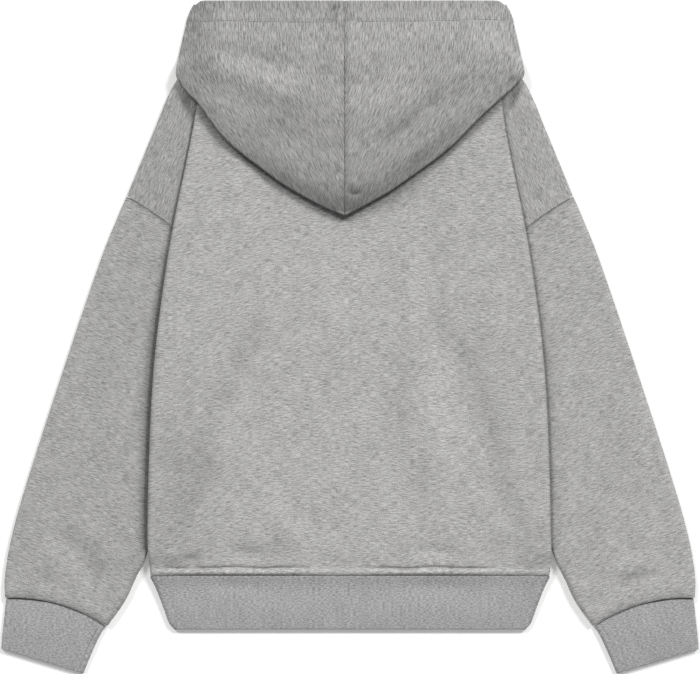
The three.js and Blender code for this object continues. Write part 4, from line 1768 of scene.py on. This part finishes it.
@dataclass
class HoodHalf:
    """One half of the hood: from the neck under itself, round the outline and over to the crown."""

    side: Side
    hem_deep: float
    rows: int = 118
    columns: int = 66
    fold_steps: int = 14
    fold_turn: float = 0.86
    crown_across: float = -4.3
    crown_low: float = 171.0
    overhang: float = 0.9
    flat: tuple[float, float] = (0.30, 0.19)
    area: float = 0.035
    cloth: Cloth | None = None
    over_start: int = 0

    def outline(self) -> Array:
        """Rows of (down, half, crown): the fold's place and the matching place on the crown.

        Returns:
            The rows, as (rows, 3).
        """
        lower = HOOD_LOWER[self.side]
        crowns = np.linspace(53.0, self.crown_low, len(lower) + 1)[1:]
        rows = [*HOOD_SIDE, *((*row, crown) for row, crown in zip(lower, crowns))]
        return np.array(rows, float)

    def under(self, down: Array, half: Array, fall: tuple[float, float]) -> Array:
        """Height of what the hood lies on, falling to the surface past the shoulder line.

        Args:
            down: Distances below the hood's top edge.
            half: Distances from the middle line on this side.
            fall: How far past the shoulder line the fall ends, and over what distance it goes.

        Returns:
            Heights of the top of the cloth below the hood.
        """
        reach = np.abs(half)
        tip = SHOULDER_TIP[1]
        past = 1.27 * np.maximum(reach - tip, 0.0)
        top = top_of_panel(np.minimum(reach, tip), BACK_NECK_DROP) + past
        on_body = smooth((down - top + fall[0]) / fall[1])
        over_fold = smooth((reach - BODY_EDGE.at(down) - 2.0) / 12.0)
        back = back_plain(down, reach) + back_full(down, reach, self.side)
        arm = arm_upper(down, reach, self.side)
        return on_body * (lerp(back, arm, over_fold) + FLEECE / 2)

    def lower_height(
        self, down: Array, half: Array, fall: tuple[float, float] = CLOSE_FALL
    ) -> Array:
        """Height of the hood's under layer, a little clear of what it lies on."""
        under = self.under(down, half, fall)
        return FLEECE / 2 + under + smooth(under / 3.0) * 1.6

    def low_place(self, down: float, half: float) -> tuple[float, float, float]:
        """A place on the under layer, with its height."""
        return down, half, float(self.lower_height(*np.array((down, half))))

    def crown_half(self) -> float:
        """Where this half's cloth ends beside the crown seam, from the middle line."""
        return self.side.value * self.crown_across + SEAM_GAP / 2

    def front_row(self, row: int) -> tuple:
        """A row that starts just inside the front neckline and stays low till it is out of it.

        Args:
            row: Which of the front's rows, the first on the middle line.

        Returns:
            The row's start, turning place and gateway.
        """
        half = NECK_HALF * np.sin(np.pi / 2 * row / FRONT_ROWS)
        down = top_of_panel(half, FRONT_NECK_DROP)
        inward = unit(np.array([SHOULDER_DOWN - down, -half])) * (SEAM_GAP + 0.1)
        start = (down + inward[0], max(half + inward[1], SEAM_GAP / 2), level(0))
        last = FRONT_ROWS - 1
        gate = self.low_place(lerp(27.0, 25.0, row / last), lerp(64.0, 75.0, row / last))
        turning = (lerp(start[0], gate[0], 0.6), lerp(start[1], gate[1], 0.6), level(0))
        return start, turning, gate

    def back_row(self, row: int, edge: Array) -> tuple:
        """A row that starts on the back neckline and lies on the back from there.

        Args:
            row: Which of the back's rows, counted from 1 beside the shoulder line.
            edge: The folded edge's place on that row.

        Returns:
            The row's start, turning place and gateway.
        """
        step = FRONT_ROWS * (1 - row / BACK_ROWS)
        half = max(NECK_HALF * np.sin(np.pi / 2 * step / FRONT_ROWS), self.crown_half())
        down = top_of_panel(half, BACK_NECK_DROP) - 0.5
        gate = self.low_place(lerp(down, edge[0], 0.12), lerp(half, edge[1], 0.12))
        turning = self.low_place(lerp(down, gate[0], 0.5), lerp(half, gate[1], 0.5))
        return (down, half, BACK_LOW + PITCH), turning, gate

    def neck(self) -> tuple[Array, Array, Array]:
        """Start, turning place and gateway of the solid's rows, each as (rows, 3).

        The first rows follow the front neckline, two step up over the shoulder line, and the rest
        follow the back neckline.

        Returns:
            The starts, the turning places and the gateways.
        """
        edges = self.outline()[-BACK_ROWS:]
        rows = [self.front_row(row) for row in range(FRONT_ROWS)]
        rows += NECK_CORNER
        rows += [self.back_row(row + 1, edge) for row, edge in enumerate(edges)]
        start, turning, gate = (np.array(part) for part in zip(*rows))
        return start, turning, gate

    def fullness(self, down: Array, half: Array, away: Array, loft: Array, crown: Array) -> Array:
        """Height of the upper layer over the lower one.

        It is the fold's loft, plus a dome, plus the creases, less the dip along the crown seam. The
        dome is the sum of two rises, each 1 less exp of minus the distance from the fold over 13 mm
        and over 42 mm.

        Args:
            down: Distances below the hood's top edge.
            half: Distances from the middle line.
            away: Distances from the fold.
            loft: Height of the fold, one a row.
            crown: Distances of the rows' crown ends below the top edge.

        Returns:
            Heights in millimetres.
        """
        reach = np.abs(half - self.side.value * self.crown_across)
        steep = 1.0 - np.exp(-away / 13.0)
        gentle = 1.0 - np.exp(-away / 42.0)
        lower = smooth(crown / 60.0)
        dome = 4.6 * steep * lerp(0.55, 1.0, lower) + 4.0 * gentle * lower
        seam = -1.4 * np.exp(-((reach / 4.0) ** 2)) - 1.2 * np.exp(-((reach / 1.5) ** 2))
        folds = HOOD_CREASING * relief_of(HOOD_CREASES, down, self.side.value * half)
        folds = folds * smooth(away / 12.0)
        return np.maximum(loft + dome + seam + folds, 2.0)

    def row_values(self) -> HoodRows:
        """Works out the rows, which are soft curves through the outline's own.

        The folded edge is a turn as high as the row's loft, which grows from the opening to the
        tip. Lower down it lies a little further out and hangs free of the back.

        Returns:
            The rows.
        """
        outline = self.outline()
        count = len(outline) - 1
        row = edge_rows(self.rows, 0.012) * count
        share = row / count
        knots = np.arange(count + 1)
        edge_down, edge_half, crown = (
            Line(tuple(zip(knots, outline[:, i]))).at(row) for i in range(3)
        )
        ways = self.outward(outline)
        way = unit(np.stack([np.interp(row, knots, ways[:, i]) for i in range(2)]))
        loft = lerp(3.4, 4.4, smooth(share / 0.4))
        further_out = 0.9 * smooth((share - 0.45) / 0.25)
        edge = np.stack([edge_down, edge_half])
        centre = edge - way * (loft / 2 + FLEECE / 2 - further_out)
        hanging = self.overhang * smooth((share - 0.3) / 0.12)
        low = self.lower_height(*centre) + hanging
        return HoodRows(row, share, centre, way, loft, hanging, low, crown)

    def under_part(self, rows: HoodRows) -> Array:
        """Places of the under layer: from the neck to its gateway, and on to the folded edge.

        Args:
            rows: The hood's rows.

        Returns:
            Down, half and height as (3, rows, columns).
        """
        start, turning, gate = (
            np.stack([np.interp(rows.row, np.arange(len(part)), part[:, i]) for i in range(3)])
            for part in self.neck()
        )
        share = np.linspace(0.0, 1.0, 6)[:-1]
        first = lerp(start[:, :, None], turning[:, :, None], share)
        second = lerp(turning[:, :, None], gate[:, :, None], share)
        t = np.linspace(0.0, 1.0, 26)[:-1]
        plan = lerp(gate[:2, :, None], rows.centre[:, :, None], t)
        lift = gate[2] - self.lower_height(*gate[:2])
        ease = np.clip(1.0 - t / 0.25, 0.0, 1.0)
        hung = rows.hanging[:, None] * smooth((t - 0.6) / 0.4)
        ground = self.lower_height(*plan) + lift[:, None] * ease + hung
        return np.concatenate([first, second, np.concatenate([plan, ground[None]])], 2)

    def over_part(self, rows: HoodRows) -> tuple[Array, Array]:
        """Places of the upper layer, from the folded edge to the crown seam.

        Args:
            rows: The hood's rows.

        Returns:
            Down, half and height as (3, rows, columns), and the distances from the folded edge.
        """
        t = np.sort(1.0 - edge_rows(self.columns, 0.008)[::-1][:-1])
        t = t[t > 0.012]
        centre = rows.centre[:, :, None]
        corner = 1.0 + 90.0 * np.maximum(1.0 - rows.row, 0.0)[:, None] ** 2
        down = lerp(centre[0], rows.crown[:, None], 1.0 - (1.0 - t) ** corner)
        plan = np.stack([down, lerp(centre[1], self.crown_half(), t)])
        away = np.linalg.norm(plan - centre, axis=0)
        full = self.fullness(plan[0], plan[1], away, rows.loft[:, None], rows.crown[:, None])
        full = full + rows.hanging[:, None] * np.exp(-away / 16.0)
        close, free = (self.lower_height(*plan, fall) for fall in (CLOSE_FALL, FREE_FALL))
        ground = lerp(close, free, smooth(away / 12.0))
        return np.concatenate([plan, (ground + full)[None]]), away

    def nap_and_shade(self, grid: Array, away: Array, share: Array) -> Array:
        """Brightness factor: the hood's nap factor and painted patches, with painted shade near the
        folded edge and under it.

        Towards the tip the edge has painted shade by a bell curve of the distance from the fold, and
        the turn's own cloth has a darker painted line up to where it comes to the top.

        Args:
            grid: The half's places, as (3, rows, columns).
            away: Distances of the upper layer's places from the fold.
            share: The rows' shares of the outline.

        Returns:
            Factors of brightness, as (rows, columns).
        """
        painted_patches = relief_of(HOOD_PAINTED_SHADE, grid[0], self.side.value * grid[1])
        fold = slice(self.over_start - self.fold_steps - 1, self.over_start)
        near = np.zeros(grid.shape[1:])
        near[:, fold] = 1.0
        near[:, self.over_start :] = np.exp(-((away / 13.0) ** 2))
        # Painted dark line on the turn's own cloth, where the fold's underside lies in shadow
        turn = np.linspace(0.0, self.fold_turn, self.fold_steps + 1)
        painted_fold_line = (1.0 - 0.62 * (1.0 - smooth((turn - 0.6) / 0.2)))[None, :]
        pressed = np.ones(grid.shape[1:])
        pressed[:, fold] = lerp(1.0, painted_fold_line, smooth((share - 0.3) / 0.1)[:, None])
        # Painted shade near the fold, growing towards the tip
        shade_depth = 0.2 * smooth((share - 0.5) / 0.35)[:, None]
        return (HOOD_NAP_AND_SHADE[self.side] + painted_patches - shade_depth * near) * pressed

    def build(self, finishes: Finishes) -> Piece:
        """Makes the half from rows that fan from the neck's edge to the crown seam.

        Args:
            finishes: The garment's finishes.

        Returns:
            The finished piece.
        """
        rows = self.row_values()
        under = self.under_part(rows)
        radius = rows.loft / 2
        turns = (0.0, self.fold_turn)
        middle = rows.low + radius
        fold = turned(rows.centre, rows.way, middle, radius, -1, turns, self.fold_steps)
        over, away = self.over_part(rows)
        self.over_start = under.shape[2] + fold.shape[2]
        grid = np.concatenate([under, fold, over], 2)
        self.cloth = Cloth(*grid, self.grain(grid), self.side.value)
        self.cloth.extra = self.hem(self.cloth)
        self.cloth.nap_and_shade = self.nap_and_shade(grid, away, rows.share)
        self.cloth.height = np.maximum(self.cloth.height, FLEECE / 2 + self.cloth.extra)
        piece = self.cloth.build(f"hood_cloth_{self.side.word}", finishes.hood)
        node = f"hood_{self.side.word}"
        return dress(piece, node)

    def outward(self, outline: Array) -> Array:
        """Unit ways out of the outline at the solid's rows, as (rows, 2).

        Args:
            outline: The outline's rows, as outline gives them.

        Returns:
            The unit ways.
        """
        along = unit(outline[2:, :2] - outline[:-2, :2], 1)
        square = np.stack([-along[:, 1], along[:, 0]], 1)
        return np.concatenate([[[-0.35, 0.937]], square, [[1.0, 0.0]]])

    def hem(self, cloth: Cloth) -> Array:
        """Extra half thickness of the doubled hem at the opening, pressed in at its stitches.

        Args:
            cloth: The half's cloth, before its hem is doubled.

        Returns:
            Extra half thicknesses in millimetres, as (rows, columns).
        """
        first = along_edges(cloth.points(), False)[0]
        doubled = 0.55 * (1.0 - smooth((first - self.hem_deep) / 1.8))
        pressed = -0.85 * np.exp(-(((first - self.hem_deep + 0.6) / 1.1) ** 2))
        return doubled + pressed

    def grain(self, grid: Array) -> Array:
        """Grain down the hood, drawn together towards the tip.

        Across the grain the coordinate is the half distance over a width that narrows from 1 near
        the opening to about 0.75 at the tip, plus a shift that slants the streaks. The shift is 0.45
        times a soft hinge, the mean of the distance past 60 mm and its hypotenuse with 30 mm.

        Args:
            grid: One side's places, as (3, rows, columns).

        Returns:
            Coordinates along and across the grain, in metres, as (rows, columns, 2).
        """
        narrow = 1.0 - 0.3 * smooth((grid[0] - 40.0) / 190.0)
        past = grid[0] - 60.0
        shift = 0.45 * (np.hypot(past, 30.0) + past) / 2
        across = grid[1] / narrow + shift + self.side.value * HOOD_SHIFT
        return np.stack([grid[0], across], -1) * MM


@dataclass
class HemStitches:
    """The row of stitches that holds the hood's hem, on one half of the hood."""

    half_hood: HoodHalf
    pitch: float = 3.1
    length: float = 2.3
    radius: float = 0.34
    rings: int = 6
    around: int = 6
    inside_edge: float = 0.6

    def path(self) -> Array:
        """Places on the cloth's outer face where the hem's stitches run, as (columns, 3).

        Returns:
            The places, in millimetres.
        """
        cloth = self.half_hood.cloth
        points = cloth.points()
        first = along_edges(points, False)[0]
        columns = range(self.half_hood.over_start + 2, points.shape[1] - 6)
        depth = self.half_hood.hem_deep - self.inside_edge
        middle = np.array(
            [[np.interp(depth, first[:, c], points[:, c, k]) for k in range(3)] for c in columns]
        )
        middle[:, 2] += FLEECE / 2 - 0.1
        return middle

    def spindles(self) -> Array:
        """Places of small spindles laid end to end along the path.

        A spindle's ring lies at a share of its length, with a radius of its own times the square
        root of the sine of pi times the share.

        Returns:
            Places as (stitches, rings, points round, 3).
        """
        path = self.path()
        run = np.concatenate([[0.0], np.cumsum(np.linalg.norm(np.diff(path, axis=0), axis=1))])
        centres = np.arange(self.pitch, run[-1] - self.pitch, self.pitch)

        def place(at: Array) -> Array:
            """Places at distances along the path."""
            return np.stack([np.interp(at, run, path[:, k]) for k in range(3)], -1)

        tangent = unit(place(centres + 0.5) - place(centres - 0.5), -1)
        aside = unit(np.cross(np.array([0.0, 0.0, 1.0]), tangent), -1)
        lift = np.cross(tangent, aside)
        share = np.linspace(0.02, 0.98, self.rings)
        angle = np.linspace(0.0, 2 * np.pi, self.around + 1)[:-1]
        size = self.radius * np.sqrt(np.sin(np.pi * share))
        x = (share - 0.5) * self.length
        local = size[:, None, None] * np.stack([np.cos(angle), np.sin(angle)], -1)
        return (
            place(centres)[:, None, None]
            + tangent[:, None, None] * x[None, :, None, None]
            + aside[:, None, None] * local[None, :, :, :1]
            + lift[:, None, None] * local[None, :, :, 1:]
        )

    def faces(self, count: int) -> Array:
        """Four-sided faces of the spindles, their six-sided ends made of two faces each.

        Args:
            count: Number of stitches.

        Returns:
            Point numbers of the faces, as (faces, 4).
        """
        index = np.arange(count * self.rings * self.around).reshape(count, self.rings, self.around)
        ring = np.concatenate([index, index[:, :, :1]], 2)
        corners = [ring[:, :-1, :-1], ring[:, :-1, 1:], ring[:, 1:, 1:], ring[:, 1:, :-1]]
        sides = np.stack(corners, -1).reshape(-1, 4)
        halves = ([0, 1, 2, 3], [0, 3, 4, 5])
        start_caps = [index[:, 0][:, half][:, ::-1] for half in halves]
        end_caps = [index[:, -1][:, half] for half in halves]
        return np.concatenate([sides, *start_caps, *end_caps])

    def build(self, finishes: Finishes) -> Piece:
        """Makes the stitches as one piece, on the root body.

        Args:
            finishes: The garment's finishes.

        Returns:
            The finished piece.
        """
        places = self.spindles()
        grain = places[..., :2].reshape(-1, 2) * MM
        name = f"hem_stitches_{self.half_hood.side.word}"
        faces = self.faces(len(places))
        piece = make_piece(name, places.reshape(-1, 3) * MM, faces, grain, finishes.thread)
        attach(piece, "root")
        LOG.info("%s: %d stitches", name, len(places))
        return piece


@dataclass
class Studio:
    """A white floor, soft lights and a camera that looks straight down, as in the photograph."""

    frame_wide: float = 0.574
    distance: float = 3.2
    sensor: float = 36.0
    aim_height: float = 0.009
    softness: float = 17.0
    key: float = 2.15
    fill: float = 1.5
    sky: float = 0.27
    floor_reach: float = 4.0

    def floor(self) -> None:
        """Lays a plain white sheet well past the view."""
        mesh = bpy.data.meshes.new("floor")
        reach = self.floor_reach
        corners = [(x * reach, y * reach, 0.0) for x, y in ((-1, -1), (1, -1), (1, 1), (-1, 1))]
        mesh.from_pydata(corners, [], [(0, 1, 2, 3)])
        mesh.materials.append(FloorFinish().build())
        sheet = bpy.data.objects.new("floor", mesh)
        bpy.context.scene.collection.objects.link(sheet)

    def light(self, name: str, way: tuple[float, ...], strength: float) -> None:
        """Adds a large soft light far off, shining evenly from that way.

        Args:
            name: The lamp's name.
            way: Where it shines from, as seen from the garment.
            strength: Its strength.
        """
        data = bpy.data.lights.new(name, "SUN")
        data.angle = np.radians(self.softness)
        data.energy = strength
        data.color = (1.0, 0.997, 0.988)
        lamp = bpy.data.objects.new(name, data)
        lamp.location = way
        lamp.rotation_euler = (-Vector(way)).to_track_quat("-Z", "Y").to_euler()
        bpy.context.scene.collection.objects.link(lamp)

    def lights(self) -> None:
        """A key from the upper right, a weaker one from the upper left, and an even sky."""
        self.light("key_right", (0.9, 1.05, 1.35), self.key)
        self.light("key_left", (-0.8, 1.05, 1.35), self.fill)
        world = bpy.data.worlds.new("studio")
        world.use_nodes = True
        sky = world.node_tree.nodes["Background"]
        sky.inputs["Color"].default_value = (1.0, 1.0, 1.0, 1.0)
        sky.inputs["Strength"].default_value = self.sky
        bpy.context.scene.world = world

    def camera(self) -> None:
        """Stands the camera over the middle, framed as wide as the photograph."""
        data = bpy.data.cameras.new("camera")
        data.sensor_width = self.sensor
        data.lens = self.sensor * self.distance / self.frame_wide
        camera = bpy.data.objects.new("camera", data)
        camera.location = (0.0, 0.0, self.distance + self.aim_height)
        bpy.context.scene.collection.objects.link(camera)
        bpy.context.scene.camera = camera

    def build(self) -> None:
        """Sets up the floor, the lights, the camera and a plain view."""
        self.floor()
        self.lights()
        self.camera()
        bpy.context.scene.view_settings.view_transform = "Standard"


def write_size() -> None:
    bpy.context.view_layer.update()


def main() -> None:
    """Builds the garment piece by piece, then the studio."""
    logging.basicConfig(level=logging.INFO, format="%(message)s")
    hood_fleece = FleeceFinish(
        "marled_fleece_hood", streak=(0.0088, 0.0007), spread=0.108, shares=(0.42, 0.36, 0.22)
    )
    finishes = Finishes(
        FleeceFinish().build(), hood_fleece.build(), RibFinish().build(), ThreadFinish().build()
    )
    size = (0.60, 0.47)
    front = BodyPanel(Face.FRONT, FRONT_NECK_DROP, size, 0.175, (), rows=50, neck_columns=24)
    front.build(finishes)
    BodyPanel(Face.BACK, BACK_NECK_DROP, size, 0.18, ("front_panel",)).build(finishes)
    for side in Side:
        Sleeve(side).build(finishes)
        Cuff(side).build(finishes)
    HemBand().build(finishes)
    for side in Side:
        half_hood = HoodHalf(side, HOOD_HEM[side])
        half_hood.build(finishes)
        HemStitches(half_hood).build(finishes)
    Studio().build()
    write_size()


if __name__ == "__main__":
    main()
